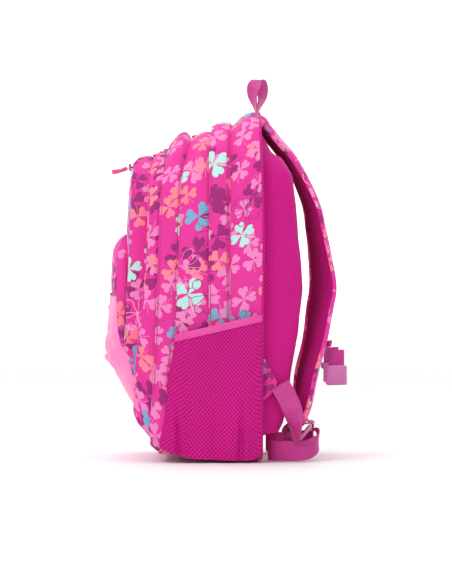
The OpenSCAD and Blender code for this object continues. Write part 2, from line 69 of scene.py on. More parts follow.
class BackpackCloth(bpy.types.PropertyGroup):
    """Colours and the scale of the cloths"""

    ground: FloatVectorProperty(
        name="Print ground", description="Ground colour of the printed cloth",
        subtype="COLOR", size=3, min=0, max=1, default=(0.800, 0.038, 0.335))
    mesh: FloatVectorProperty(
        name="Air mesh", description="Colour of the padded mesh",
        subtype="COLOR", size=3, min=0, max=1, default=(0.660, 0.006, 0.255))
    webbing: FloatVectorProperty(
        name="Webbing", description="Colour of the straps' webbing",
        subtype="COLOR", size=3, min=0, max=1, default=(0.600, 0.026, 0.275))
    panel: FloatVectorProperty(
        name="Pocket panel", description="Colour of the plain front panel",
        subtype="COLOR", size=3, min=0, max=1, default=(0.960, 0.225, 0.520))
    binding: FloatVectorProperty(
        name="Binding", description="Colour of the side pocket's binding",
        subtype="COLOR", size=3, min=0, max=1, default=(0.780, 0.060, 0.360))
    plastic: FloatVectorProperty(
        name="Plastic", description="Colour of the buckle and adjusters",
        subtype="COLOR", size=3, min=0, max=1, default=(0.560, 0.130, 0.360))
    clover: FloatProperty(
        name="Clover", description="Width of a common printed clover",
        unit="LENGTH", min=0.01, max=0.08, default=0.031)
    mesh_pitch: FloatProperty(
        name="Mesh pitch", description="Distance between the holes of the mesh",
        unit="LENGTH", min=0.003, max=0.010, default=0.0049)


class BackpackForm(bpy.types.PropertyGroup):
    """How full and how soft the bag looks"""

    fullness: FloatProperty(
        name="Fullness", description="How far the cloth between two seams stands out",
        unit="LENGTH", min=0, max=0.01, default=0.0035)
    cloth: FloatProperty(
        name="Cloth", description="Thickness of the cloth",
        unit="LENGTH", min=0.0005, max=0.003, default=0.0012)
    webbing: FloatProperty(
        name="Webbing", description="Width of the webbing",
        unit="LENGTH", min=0.015, max=0.04, default=0.025)
    smoothness: IntProperty(
        name="Smoothness", description="Grid lines across each strip of cloth",
        min=2, max=12, default=6)


def cloths():
    return bpy.context.scene.backpack_cloth


def form():
    return bpy.context.scene.backpack_form


# ---- Shader writing ----

class Value:
    """A number in a material; each operator adds the node that works it out."""

    def __init__(self, finish, socket):
        self.finish, self.socket = finish, socket

    def math(self, operation, *others):
        made = self.finish.node("ShaderNodeMath", {"operation": operation}, dict(enumerate((self,) + others)))
        return Value(self.finish, made.outputs[0])

    def __add__(self, other): return self.math("ADD", other)
    def __sub__(self, other): return self.math("SUBTRACT", other)
    def __mul__(self, other): return self.math("MULTIPLY", other)
    def __truediv__(self, other): return self.math("DIVIDE", other)
    def __neg__(self): return self.math("MULTIPLY", -1.0)
    def __rsub__(self, other): return (-self) + other
    __radd__, __rmul__ = __add__, __mul__

    def less(self, other): return self.math("LESS_THAN", other)
    def greater(self, other): return self.math("GREATER_THAN", other)
    def fract(self): return self.math("FRACT")
    def floor(self): return self.math("FLOOR")
    def size(self): return self.math("ABSOLUTE")
    def low(self, other): return self.math("MINIMUM", other)
    def high(self, other): return self.math("MAXIMUM", other)


def length(x, y):
    return (x * x + y * y).math("SQRT")


class Finish:
    """One material, its nodes added by one method."""

    def __init__(self, name, rough, **fixed):
        self.material = bpy.data.materials.new(name)
        self.material.use_nodes = True
        self.tree = self.material.node_tree
        self.surface = self.tree.nodes["Principled BSDF"]
        self.surface.inputs["Roughness"].default_value = rough
        for socket, value in fixed.items():
            self.surface.inputs[socket.replace("_", " ")].default_value = value

    def node(self, kind, settings=None, inputs=None):
        made = self.tree.nodes.new(kind)
        for name, value in (settings or {}).items():
            if name == "stops":
                ramp = made.color_ramp
                ramp.interpolation = "CONSTANT"
                for i, (at, colour) in enumerate(value):
                    stop = ramp.elements[i] if i < 2 else ramp.elements.new(at)
                    stop.position, stop.color = at, (*colour, 1)
            else:
                setattr(made, name, value)
        for socket, value in (inputs or {}).items():
            if isinstance(value, Value):
                self.tree.links.new(value.socket, made.inputs[socket])
            elif isinstance(value, bpy.types.NodeSocket):
                self.tree.links.new(value, made.inputs[socket])
            else:
                made.inputs[socket].default_value = value
        return made

    def apart(self, vector):
        made = self.node("ShaderNodeSeparateXYZ", inputs={0: vector})
        return [Value(self, made.outputs[i]) for i in range(3)]

    def sewn(self):
        """Distance along and across a piece's own cloth, in metres."""
        return self.apart(self.node("ShaderNodeUVMap", {"uv_map": "cloth"}).outputs[0])[:2]

    def place(self):
        return self.apart(self.node("ShaderNodeTexCoord").outputs["Object"])

    def join(self, x, y, z=0.0):
        return self.node("ShaderNodeCombineXYZ", inputs={0: x, 1: y, 2: z}).outputs[0]

    def chance(self, x, y, seed):
        made = self.node("ShaderNodeTexWhiteNoise", inputs={"Vector": self.join(x, y, seed)})
        rgb = self.node("ShaderNodeSeparateColor", inputs={0: made.outputs["Color"]})
        return [Value(self, rgb.outputs[i]) for i in range(3)] + [Value(self, made.outputs["Value"])]

    def cloud(self, scale, detail=2.0, where=None):
        inputs = {"Scale": scale, "Detail": detail}
        inputs["Vector"] = where if where is not None else self.node("ShaderNodeTexCoord").outputs["Object"]
        return Value(self, self.node("ShaderNodeTexNoise", inputs=inputs).outputs["Fac"])

    def mix(self, share, a, b, how="MIX"):
        made = self.node(
            "ShaderNodeMix", {"data_type": "RGBA", "blend_type": how},
            {0: share, 6: self.colour(a), 7: self.colour(b)})
        return made.outputs[2]

    def colour(self, value):
        return value if isinstance(value, bpy.types.NodeSocket) else (*value, 1)[:4]

    def show(self, colour, height=None, depth=0.0004, strength=0.5, rough=None):
        self.tree.links.new(colour, self.surface.inputs["Base Color"])
        if height is not None:
            bump = self.node(
                "ShaderNodeBump", inputs={"Height": height, "Distance": depth, "Strength": strength})
            self.tree.links.new(bump.outputs[0], self.surface.inputs["Normal"])
        if rough is not None:
            self.tree.links.new(rough.socket, self.surface.inputs["Roughness"])
        return self.material


def shade(colour, by):
    """A colour made darker or lighter."""
    return tuple(max(0.0, min(1.0, c * by)) for c in colour)


# ---- Materials ----

LEAF = (0.88, 0.25, 0.55)
CORAL = (0.95, 0.25, 0.32)
MINT = (0.48, 0.84, 0.76)
SLATE = (0.21, 0.42, 0.64)
PLUM = (0.35, 0.022, 0.19)
PALE = (0.98, 0.60, 0.80)


def leaves(finish, x, y, cell, seed, reach):
    """Distance to the nearest leaf of the clover in this cell, its stem, and the cell's chances."""
    turned = 0.35 * seed
    px = (x * math.cos(turned) - y * math.sin(turned)) / cell + 3.7 * seed
    py = (x * math.sin(turned) + y * math.cos(turned)) / cell + 1.9 * seed
    column, row = px.floor(), py.floor()
    chances = finish.chance(column, row, 11.0 * seed)
    fx = px - column - 0.5 - (chances[0] - 0.5) * 0.16
    fy = py - row - 0.5 - (chances[1] - 0.5) * 0.16
    radius = length(fx, fy)
    four = chances[3].greater(0.62)
    half = math.pi / 3 - four * (math.pi / 3 - math.pi / 4)
    angle = fy.math("ARCTAN2", fx) + chances[2] * TAU
    off_axis = angle.math("PINGPONG", half)
    size = reach * (0.8 + 0.2 * chances[0])
    along = radius * off_axis.math("COSINE") / size
    across = radius * off_axis.math("SINE") / size * (1.0 + 0.42 * four)
    lobe = length(along - 0.68, across - 0.255) - 0.262
    point = (across - 0.74 * along).high(along - 0.62)
    leaf = lobe.low(point)
    spin = angle - half * 0.9
    reach_out = radius * spin.math("COSINE") / size
    aside = (radius * spin.math("SINE") / size - 0.12 * reach_out * reach_out).size()
    stem = aside.less(0.022) * reach_out.greater(0.0) * reach_out.less(1.15)
    return leaf, stem, chances


def clover_print():
    """Woven polyester printed all over with clovers."""
    finish = Finish("clover_print", 0.62, Sheen_Weight=0.04, Specular_IOR_Level=0.2)
    x, y = finish.sewn()
    ground = cloths().ground
    clover = cloths().clover
    colour = finish.mix(finish.cloud(9.0), shade(ground, 0.93), shade(ground, 1.06))
    layers = (
        (1.45, 1, 0.45, 0.48, ((0.0, PLUM), (0.55, LEAF), (0.72, SLATE), (0.86, PLUM))),
        (1.05, 2, 0.46, 0.62, ((0.0, LEAF), (0.40, CORAL), (0.58, PLUM), (0.78, LEAF))),
        (1.18, 3, 0.46, 0.56, ((0.0, CORAL), (0.24, LEAF), (0.62, MINT), (0.78, LEAF))),
        (1.60, 5, 0.45, 0.34, ((0.0, SLATE), (0.40, MINT), (0.75, PLUM), (0.88, CORAL))),
    )
    for cell, seed, reach, share, stops in layers:
        leaf, stem, chances = leaves(finish, x, y, cell * clover, seed, reach)
        inked = leaf.less(0.0).high(stem) * chances[2].less(share)
        tint = finish.node("ShaderNodeValToRGB", {"stops": stops}, {0: chances[1]}).outputs[0]
        colour = finish.mix(inked, colour, tint)
    for cell, seed, share, stops in (
        (1.90, 7, 0.26, ((0.0, PALE), (0.6, LEAF), (0.8, PLUM))),
        (1.60, 9, 0.13, ((0.0, PLUM), (0.45, SLATE), (0.75, PALE))),
    ):
        leaf, stem, chances = leaves(finish, x, y, cell * clover, seed, 0.46)
        drawn = leaf.size().less(0.020).high(stem * 0.8) * chances[2].less(share)
        tint = finish.node("ShaderNodeValToRGB", {"stops": stops}, {0: chances[1]}).outputs[0]
        colour = finish.mix(drawn, colour, tint)
    weave = woven(x, y, 0.0007)
    grain = 0.97 + 0.05 * weave
    colour = finish.mix(1.0, colour, finish.join(grain, grain, grain), "MULTIPLY")
    return finish.show(colour, weave + 2.0 * finish.cloud(120.0), 0.0002, 0.35)


def woven(x, y, pitch):
    """A plain weave's ups and downs."""
    over = (x / pitch).math("SINE")
    under = (y / pitch).math("SINE")
    return over * under


def holes(x, y, pitch, width):
    """How deep inside a hole of a staggered net this point is, from 0 to 1."""
    deep = []
    for shift in (0.0, 0.5):
        u = (x / pitch + shift).fract() - 0.5
        v = (y / (pitch * 1.15) + shift).fract() - 0.5
        deep.append(length(u, v))
    near = deep[0].low(deep[1])
    edge = (width - near) * (1 / 0.10)
    return edge.high(0.0).low(1.0)


def netted(name, colour, hole_shade, width, stretch=1.0):
    """Knitted mesh: yarn round staggered holes, with soft uneven light on it."""
    finish = Finish(name, 0.6, Sheen_Weight=0.04, Specular_IOR_Level=0.15)
    x, y = finish.sewn()
    wander = (finish.cloud(14.0) - 0.5) * 0.006
    hole = holes(x * stretch + wander, y + wander, cloths().mesh_pitch, width)
    patch = finish.mix(finish.cloud(11.0), shade(colour, 0.88), shade(colour, 1.12))
    yarn = finish.mix(hole, patch, shade(colour, hole_shade))
    return finish.show(yarn, 1.0 - hole, 0.0009, 0.6)


def ribbed(name, colour, pitch=0.0022):
    """Webbing woven in ribs along its length, with a firm edge."""
    finish = Finish(name, 0.42, Sheen_Weight=0.25, Sheen_Roughness=0.3, Specular_IOR_Level=0.5)
    x, y = finish.sewn()
    rib = ((x / pitch) * TAU).math("SINE")
    twill = ((x * 1.0 + y * 1.0) / (pitch * 0.9)).fract()
    base = finish.mix(finish.cloud(30.0), shade(colour, 0.85), shade(colour, 1.15))
    base = finish.mix(rib.high(0.0) * 0.45, base, shade(colour, 0.6))
    return finish.show(base, rib + twill, 0.0004, 0.5)


def plain_cloth(name, colour):
    """Plain woven polyester with a slight sheen."""
    finish = Finish(name, 0.5, Sheen_Weight=0.2, Sheen_Roughness=0.4, Specular_IOR_Level=0.4)
    x, y = finish.sewn()
    weave = woven(x, y, 0.0006)
    base = finish.mix(finish.cloud(16.0), shade(colour, 0.94), shade(colour, 1.05))
    return finish.show(base, weave + 3.0 * finish.cloud(60.0), 0.0003, 0.4)


def felt(name, colour):
    """Foam board faced with felt: dull, mottled and fibrous."""
    finish = Finish(name, 0.9, Sheen_Weight=0.15, Specular_IOR_Level=0.3)
    base = finish.mix(finish.cloud(30.0), shade(colour, 0.90), shade(colour, 1.06))
    return finish.show(base, finish.cloud(420.0), 0.0002, 0.4)


def moulded(name, colour):
    """Satin plastic with a fine spark-eroded grain and slight wear."""
    finish = Finish(name, 0.36, Specular_IOR_Level=0.5)
    wear = finish.cloud(90.0)
    base = finish.mix(wear, shade(colour, 0.94), shade(colour, 1.08))
    return finish.show(base, finish.cloud(900.0), 0.0001, 0.25, 0.3 + 0.16 * wear)


def thread(name, colour):
    """Twisted sewing thread."""
    finish = Finish(name, 0.5, Sheen_Weight=0.2)
    twist = ((finish.place()[2] + finish.place()[1]) * 5000.0).math("SINE")
    base = finish.mix(0.5 + 0.5 * twist, shade(colour, 0.85), shade(colour, 1.1))
    return finish.show(base, twist, 0.0001, 0.3)


def zip_cloth(name, colour):
    """Zip tape, woven across, with the coil's ridges along its middle."""
    finish = Finish(name, 0.5, Specular_IOR_Level=0.4)
    x, _, z = finish.place()
    ridge = ((x + z) * 2800.0).math("SINE")
    base = finish.mix(0.5 + 0.5 * ridge, shade(colour, 0.8), shade(colour, 1.1))
    return finish.show(base, ridge, 0.0003, 0.5)


FINISHES = {}


def make_finishes():
    c = cloths()
    FINISHES.update(
        printed=clover_print(),
        air_mesh=netted("air_mesh", c.mesh, 0.42, 0.20),
        # Painted shade: the straps' mesh is the air mesh darkened to 0.82 for the shade it lies in.
        strap_mesh=netted("strap_mesh", shade(c.mesh, 0.82), 0.42, 0.22),
        netting=netted("netting", c.mesh, 0.34, 0.25),
        webbing=ribbed("ribbed_webbing", c.webbing),
        panel=plain_cloth("plain_panel", c.panel),
        binding=plain_cloth("plain_binding", c.binding),
        ribbon=plain_cloth("satin_ribbon", (0.90, 0.14, 0.28)),
        plastic=moulded("moulded_plastic", c.plastic),
        pale_plastic=moulded("pale_plastic", (0.775, 0.262, 0.503)),
        thread=thread("thread", (0.55, 0.02, 0.22)),
        tape=zip_cloth("zip_tape", (0.50, 0.02, 0.20)),
        board=felt("felted_board", (0.75, 0.75, 0.76)),
    )


def finish_of(obj, name):
    obj.data.materials.clear()
    obj.data.materials.append(FINISHES[name])
    return obj


# ---- Making a piece ----

def alone(obj=None):
    if bpy.context.mode != "OBJECT":
        bpy.ops.object.mode_set(mode="OBJECT")
    bpy.ops.object.select_all(action="DESELECT")
    if obj is not None:
        bpy.context.view_layer.objects.active = obj
        obj.select_set(True)
    return obj


def apply(obj, kind, **settings):
    alone(obj)
    made = obj.modifiers.new(kind.lower(), kind)
    for name, value in settings.items():
        setattr(made, name, value)
    bpy.ops.object.modifier_apply(modifier=made.name)
    return obj


def smooth(obj, angle=40):
    alone(obj)
    bpy.ops.object.shade_smooth_by_angle(angle=math.radians(angle))
    return obj


def outwards(obj, weld=None):
    alone(obj)
    bpy.ops.object.mode_set(mode="EDIT")
    bpy.ops.mesh.select_all(action="SELECT")
    if weld:
        bpy.ops.mesh.remove_doubles(threshold=weld)
    bpy.ops.mesh.normals_make_consistent(inside=False)
    bpy.ops.mesh.select_all(action="DESELECT")
    bpy.ops.object.mode_set(mode="OBJECT")
    return obj


def woven_sheet(name, columns, rows, where, shift=(0.0, 0.0), flat=None):
    """A grid laid over a surface; where(u, v) gives each point, and its UVs are metres of cloth."""
    alone()
    bpy.ops.mesh.primitive_grid_add(x_subdivisions=columns, y_subdivisions=rows, size=1, calc_uvs=True)
    obj = bpy.context.object
    obj.name = obj.data.name = name
    mesh = obj.data
    at = [(round((v.co.x + 0.5) * columns), round((v.co.y + 0.5) * rows)) for v in mesh.vertices]
    spot = {}
    for vertex, (i, j) in zip(mesh.vertices, at):
        vertex.co = spot[i, j] = Vector(where(i / columns, j / rows))
    middle_row = rows // 2
    along, across = [0.0], {}
    for i in range(columns):
        along.append(along[-1] + (spot[i + 1, middle_row] - spot[i, middle_row]).length)
    for i in range(columns + 1):
        across[i, 0] = 0.0
        for j in range(rows):
            across[i, j + 1] = across[i, j] + (spot[i, j + 1] - spot[i, j]).length
    layer = mesh.uv_layers.active
    layer.name = "cloth"
    for loop in mesh.loops:
        i, j = at[loop.vertex_index]
        if flat:
            u, v = flat(spot[i, j])
        else:
            u, v = along[i], across[i, j]
        layer.data[loop.index].uv = (u + shift[0], v + shift[1])
    mesh.update()
    return obj


def crumple(obj, depth, scale, seed=0.0, where=None):
    """Soft unevenness of sewn cloth, along each point's normal."""
    normals = [v.normal.copy() for v in obj.data.vertices]
    for vertex, normal in zip(obj.data.vertices, normals):
        share = where(vertex.co) if where else 1.0
        if share:
            ripple = noise.noise(vertex.co * scale + Vector((seed, 2 * seed, -seed)))
            vertex.co += normal * (depth * share * ripple)
    obj.data.update()
    return obj


def placed(obj, body, slot, *nodes):
    """Attaches a piece to what it rides on and hides the nodes it stands for; slot, what it is made of, is not
    used.
    """
    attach(obj, body)
    if nodes:
        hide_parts(*nodes)
    return obj


def cloth_piece(obj, body, finish, slot, nodes=(), thick=None, offset=0.0, levels=0, angle=50):
    apply(obj, "SOLIDIFY", thickness=thick or form().cloth, offset=offset, use_even_offset=True)
    outwards(obj, 1e-6)
    if levels:
        apply(obj, "SUBSURF", levels=levels, render_levels=levels)
    smooth(obj, angle)
    finish_of(obj, finish)
    return placed(obj, body, slot, *nodes)


def between(stations, z):
    """A value that follows (height, value) stations, highest first, smoothly."""
    if z >= stations[0][0]:
        return stations[0][1]
    for (z1, y1), (z0, y0) in zip(stations, stations[1:]):
        if z >= z0:
            t = (z - z0) / (z1 - z0)
            return y0 + (y1 - y0) * t
    return stations[-1][1]


def curve_through(points, t):
    """A smooth curve through points, t running from 0 to 1."""
    n = len(points) - 1
    i = min(int(t * n), n - 1)
    f = t * n - i
    a, b, c, d = (Vector(points[k]) for k in (max(i - 1, 0), i, i + 1, min(i + 2, n)))
    return b + 0.5 * f * ((c - a) + f * ((2 * a - 5 * b + 4 * c - d) + f * (3 * b - a - 3 * c + d)))


# ---- The bag's seams ----

SHARES = (0.0914, 0.1217, 0.3503, 0.4572, 0.5)
SIDE_FOOT = SHARES[1]


def ring(t, half, top, low, high_r, low_r):
    """(x, z) round the outline seen from the front: t goes up one side and down the other."""
    t = t % 1.0
    m, side = (t, 1) if t <= 0.5 else (1 - t, -1)
    a, b, c, d, e = SHARES
    if m < a:
        x, z = (half - low_r) * m / a, low
    elif m < b:
        turn = (m - a) / (b - a) * math.pi / 2
        x, z = half - low_r + low_r * math.sin(turn), low + low_r - low_r * math.cos(turn)
    elif m < c:
        x, z = half, low + low_r + (top - high_r - low - low_r) * (m - b) / (c - b)
    elif m < d:
        turn = (m - c) / (d - c) * math.pi / 2
        x, z = half - high_r + high_r * math.cos(turn), top - high_r + high_r * math.sin(turn)
    else:
        x, z = (half - high_r) * (e - m) / (e - d), top
    return side * x, z


class Seam:
    """A sewn line round the bag: its outline, and how far forward it lies at each height."""

    def __init__(self, half, top, low, depths, high_r=0.092, low_r=0.026):
        self.shape, self.depths = (half, top, low, high_r, low_r), depths

    def __call__(self, t):
        x, z = ring(t, *self.shape)
        return Vector((x, between(self.depths, z), z))

    def out(self, t):
        x0, z0 = ring(t - 0.004, *self.shape)
        x1, z1 = ring(t + 0.004, *self.shape)
        return Vector((z1 - z0, 0, x0 - x1)).normalized()


BACK = Seam(0.150, 0.4385, 0.0025, [
    (0.439, 0.0595), (0.34, 0.063), (0.27, 0.064), (0.18, 0.0625), (0.012, 0.0618), (0.005, 0.0614),
    (0.0025, 0.0600)])
FLAP_ROOT = Seam(0.150, 0.4225, 0.004, [(0.43, 0.0260), (0.40, 0.0235), (0, 0.0235)])
FLAP_EDGE = Seam(0.1508, 0.4190, 0.005, [(0.42, -0.0005), (0.38, -0.0035), (0, -0.0045)])
ZIP_REAR = Seam(0.1482, 0.4190, 0.006, [(1, 0.0063)])
ZIP_FORE = Seam(0.1482, 0.4160, 0.006, [(1, 0.0057)])
FRONT_START = Seam(0.1492, 0.4145, 0.007, [(1, -0.0015)])
BASE_SPLIT = Seam(0.150, 0.4, 0.0095, [(1, -0.045)])
DIVIDER = Seam(0.150, 0.4045, 0.0110, [
    (0.404, -0.026), (0.375, -0.034), (0.347, -0.0385), (0.165, -0.0455), (0.115, -0.0535), (0.046, -0.058),
    (0.011, -0.0665)], 0.090)
FLAP2_EDGE = Seam(0.1508, 0.3960, 0.020, [
    (0.41, -0.0500), (0.392, -0.0545), (0.33, -0.0640), (0.15, -0.0708), (0.048, -0.0765)], 0.088)
ZIP2_REAR = Seam(0.1480, 0.3950, 0.020, [
    (0.392, -0.0515), (0.33, -0.058), (0.15, -0.0650), (0.040, -0.070)], 0.088)
ZIP2_FORE = Seam(0.1470, 0.3925, 0.020, [
    (0.392, -0.0530), (0.33, -0.0590), (0.15, -0.0660), (0.040, -0.071)], 0.088)
FRONT2_START = Seam(0.1485, 0.3900, 0.0135, [
    (0.39, -0.0590), (0.33, -0.0615), (0.15, -0.0680), (0.060, -0.0700), (0.030, -0.0675),
    (0.0135, -0.0655)], 0.088)
FRONT_EDGE = Seam(0.1470, 0.3790, 0.0400, [
    (0.379, -0.0765), (0.2485, -0.0805), (0.142, -0.0915), (0.10, -0.0955), (0.064, -0.0965), (0.050, -0.0915),
    (0.040, -0.083)], 0.086, 0.022)


def calm(place):
    """0 where the side pockets hold the cloth flat, 1 above them."""
    free = (place.z - NETTING[1].z + 0.004) / 0.030
    return 1.0 if abs(place.x) < 0.12 else max(0.0, min(1.0, free))


def loft(name, first, second, start=SIDE_FOOT, end=1 - SIDE_FOOT, puff=0.002, crest=0.0, columns=168, rows=None,
         rise=0.0):
    """Cloth sewn between two seams, standing out by puff between them and by crest over the bag's top."""
    def where(u, v):
        t = start + (end - start) * u
        out = first.out(t)
        swell = math.sin(math.pi * v)
        place = first(t).lerp(second(t), v)
        stand = crest * max(0.0, out.z) ** 2 * math.sin(math.pi * v ** 0.75)
        stand += (puff * swell + rise * min(1, 4 * v)) * (0.25 + 0.75 * calm(place))
        return place + out * stand
    shift = (0.173 * len(name), 0.211 * len(name) + 0.05)
    return woven_sheet(name, columns, rows or form().smoothness, where, shift)


def filled(name, seam, puff, rows=14, columns=120):
    """A panel inside a seam: rings that shrink onto the middle line."""
    half, top, low = seam.shape[:3]

    def where(u, v):
        x, z = ring(u, *seam.shape)
        inner = min(max(z, low + half), top - half)
        s = v ** 0.8
        x, z = x * (1 - s), z + (inner - z) * s
        return Vector((x, between(seam.depths, z) + puff * math.sin(math.pi * s / 2), z))
    obj = woven_sheet(name, columns, rows, where, flat=lambda p: (p.x + 0.31, p.z + 0.17))
    return outwards(obj, 1e-6)


def joined(first, *others):
    """The first piece with the others joined to it."""
    alone(first)
    for obj in others:
        obj.select_set(True)
    bpy.ops.object.join()
    return first


# ---- Sweeps: pads, ribbons and cords along a path ----

def flat_section(width, thick):
    """A ribbon's section, its edges rounded, v going once round it."""
    def section(v, u):
        turn = TAU * v
        c, s = math.cos(turn), math.sin(turn)
        across = math.copysign(abs(c) ** 0.35, c) * width / 2
        return across, math.copysign(abs(s) ** 0.7, s) * thick / 2
    return section


def round_section(radius):
    return lambda v, u: (radius * math.cos(TAU * v), radius * math.sin(TAU * v))


def sweep(name, path, sides, section, columns=120, rows=16, cap=0.0):
    """A closed skin round a path; path(u) gives its middle, sides(u) the direction its width lies in."""
    def where(u, v):
        e = 0.004
        heading = (path(min(1, u + e)) - path(max(0, u - e))).normalized()
        side = sides(u)
        side = (side - side.dot(heading) * heading).normalized()
        up = heading.cross(side)
        across, above = section(v % 1.0, u)
        shrink = 1.0
        if cap:
            near = min(u, 1 - u) / cap
            shrink = math.sqrt(max(0.0, 1 - (1 - min(1, near)) ** 2))
        elif u in (0, 1):
            shrink = 0.0
        return path(u) + side * across * shrink + up * above * shrink
    return outwards(woven_sheet(name, columns, rows, where), 1e-6)


def through_stations(stations):
    """Path and width direction along (x, y, z, side x, side y, side z) stations."""
    middle = [s[:3] for s in stations]
    side = [s[3:] for s in stations]
    return (lambda u: curve_through(middle, u)), (lambda u: curve_through(side, u))


def mirrored(stations, hand):
    """Stations as they are for the right hand, and the other way round for the left."""
    return [(hand * x, y, z, a, hand * b, hand * c) for x, y, z, a, b, c in stations]


def stitching(name, path, out, body, pitch=0.0034, radius=0.00038, finish="thread",
              slot="printed_cloth", sink=0.0006):
    """A row of stitches: a thread that comes up and goes under once in every pitch."""
    span = sum((path((i + 1) / 60) - path(i / 60)).length for i in range(60))
    count = max(4, int(span / pitch))

    def middle(u):
        wave = math.cos(TAU * count * u)
        return path(u) + out(u) * (sink * (min(1.0, wave + 0.85) - 0.55))
    obj = sweep(name, middle, lambda u: out(u).cross(Vector((0.3, 0.5, 0.8))), round_section(radius),
                6 * count, 4)
    smooth(finish_of(obj, finish), 80)
    placed(obj, body, slot)
    return obj


def seam_row(name, seam, body, inset, stand, start=SIDE_FOOT + 0.02, end=None):
    """Stitches round the bag beside a seam."""
    end = end or 1 - start

    def out(u):
        return seam.out(start + (end - start) * u)

    def path(u):
        return seam(start + (end - start) * u) + Vector((0, inset, 0)) + out(u) * stand
    return stitching(name, path, out, body)


# ---- Pieces of the bag's body ----

TAPE_THICK = 0.0009


def zip_pair(name, first, second, coil_seam, body, start, end, node):
    """Half a zip: a tape between two seams, with the coil along one of them."""
    tape = loft(name, first, second, start, end, 0.0, columns=120, rows=2)
    apply(tape, "SOLIDIFY", thickness=TAPE_THICK, offset=-1)
    coil = sweep(name + "_coil", lambda u: coil_seam(start + (end - start) * u),
                 lambda u: Vector((0, 1, 0)), round_section(0.0011), 260, 8)
    joined(tape, coil)
    smooth(finish_of(tape, "tape"), 60)
    return placed(tape, body, "zip_tape", node)


def soft(obj, depth=0.0016, scale=14, seed=0.0):
    """Two sizes of soft unevenness, none where a side pocket holds the cloth."""
    return crumple(crumple(obj, depth, scale, seed, calm), depth * 0.35, 45, seed + 4, calm)


def make_main_body():
    cloth_piece(soft(loft("rear_gusset", BACK, FLAP_ROOT, puff=0.0042, crest=0.003, rows=8), seed=1),
                "bag", "printed", "printed_cloth", ["rear_gusset"])
    flap = soft(loft("main_rain_flap", FLAP_ROOT, FLAP_EDGE, puff=0.0008, crest=0.0040, rows=8, rise=0.0020),
                0.0007, 12, 2)
    cloth_piece(flap, "bag", "printed", "printed_cloth", ["main_rain_flap"], 0.0015)
    zip_pair("main_zip_rear", FLAP_ROOT, ZIP_REAR, ZIP_REAR, "bag", 0.152, 0.848, "main_zip_rear")
    base = loft("base_panel", BACK, BASE_SPLIT, -SIDE_FOOT, SIDE_FOOT, 0.0, columns=70, rows=12)
    cloth_piece(base, "bag", "printed", "printed_cloth", ["base_panel"], 0.002)
    back = soft(filled("back_panel", BACK, 0.001), 0.001, 10, 3)
    cloth_piece(back, "bag", "air_mesh", "air_mesh", ["back_panel"], 0.003)
    piping = sweep("back_piping", lambda u: BACK(SIDE_FOOT - 0.02 + (1.04 - 2 * SIDE_FOOT) * u),
                   lambda u: Vector((0, 1, 0)), round_section(0.0017), 240, 8)
    smooth(finish_of(piping, "air_mesh"), 80)
    placed(piping, "bag", "air_mesh")
    seam_row("flap_row_1", FLAP_ROOT, "bag", -0.0020, 0.0035)
    seam_row("flap_row_2", FLAP_ROOT, "bag", -0.0045, 0.0038)
    seam_row("flap_edge_row", FLAP_EDGE, "bag", 0.0022, 0.0030)


def make_front_compartment():
    body = "main_front"
    zip_pair("main_zip_front", ZIP_FORE, FRONT_START, ZIP_FORE, body, 0.152, 0.848, "main_zip_front")
    gusset = loft("main_front_gusset", FRONT_START, DIVIDER, 0.108, 0.892, puff=form().fullness,
                  crest=0.001, rows=8)
    cloth_piece(soft(gusset, seed=5), body, "printed", "printed_cloth", ["main_front_gusset"])
    foot = loft("front_base_panel", BASE_SPLIT, DIVIDER, -SIDE_FOOT, SIDE_FOOT, 0.0, columns=70, rows=4)
    cloth_piece(foot, body, "printed", "printed_cloth", ["front_base_panel"], 0.002)
    cloth_piece(filled("divider_panel", DIVIDER, 0.0), body, "panel", "printed_cloth", ["divider_panel"])
    flap = loft("second_rain_flap", DIVIDER, FLAP2_EDGE, 0.100, 0.900, puff=0.0008, crest=0.0100,
                rows=8, rise=0.0020)
    soft(flap, 0.0007, 12, 6)
    cloth_piece(flap, body, "printed", "printed_cloth", ["second_rain_flap"], 0.0015)
    zip_pair("second_zip_rear", DIVIDER, ZIP2_REAR, ZIP2_REAR, body, 0.150, 0.850, "second_zip_rear")
    seam_row("divider_row", DIVIDER, body, -0.0020, 0.0032)
    seam_row("second_flap_row", FLAP2_EDGE, body, 0.0022, 0.0030)


def make_second_compartment():
    body = "pocket_front"
    zip_pair("second_zip_front", ZIP2_FORE, FRONT2_START, ZIP2_FORE, body, 0.150, 0.850, "second_zip_front")
    gusset = loft("second_front_gusset", FRONT2_START, FRONT_EDGE, 0, 1, puff=0.0016, crest=0.0015, rows=8,
                  columns=200)
    cloth_piece(soft(gusset, 0.0014, 16, 7), body, "printed", "printed_cloth", ["second_front_gusset"])
    cloth_piece(soft(filled("front_panel", FRONT_EDGE, -0.003), 0.001, 12, 8), body, "printed", "printed_cloth",
                ["front_panel"])
    edge = sweep("front_piping", FRONT_EDGE, lambda u: Vector((0, 1, 0)), round_section(0.0013), 260, 8)
    smooth(finish_of(edge, "printed"), 80)
    placed(edge, body, "printed_cloth")


# ---- Front pockets ----

UPPER_FACE = [
    (0.3840, -0.0870), (0.3820, -0.0950), (0.3730, -0.1005), (0.3630, -0.1020), (0.2880, -0.1060),
    (0.25, -0.1070), (0.142, -0.1120)]
LOWER_FACE = [
    (0.2880, -0.1100), (0.2800, -0.1190), (0.2650, -0.1250), (0.2460, -0.1270), (0.2100, -0.1275),
    (0.1780, -0.1310), (0.1450, -0.1330), (0.1340, -0.1310), (0.1120, -0.1210), (0.0880, -0.1100),
    (0.0700, -0.1010)]
LOWER_ROLL = [
    (0.288, 0.008), (0.213, 0.008), (0.175, 0.013), (0.150, 0.016), (0.135, 0.026), (0.090, 0.020),
    (0.070, 0.004)]
UPPER_ROLL = [(0.288, 0.003), (0.142, 0.003)]
UNDER = [(0.2880, -0.1060), (0.25, -0.1065), (0.1510, -0.1105), (0.1480, -0.0925), (0.07, -0.0965)]


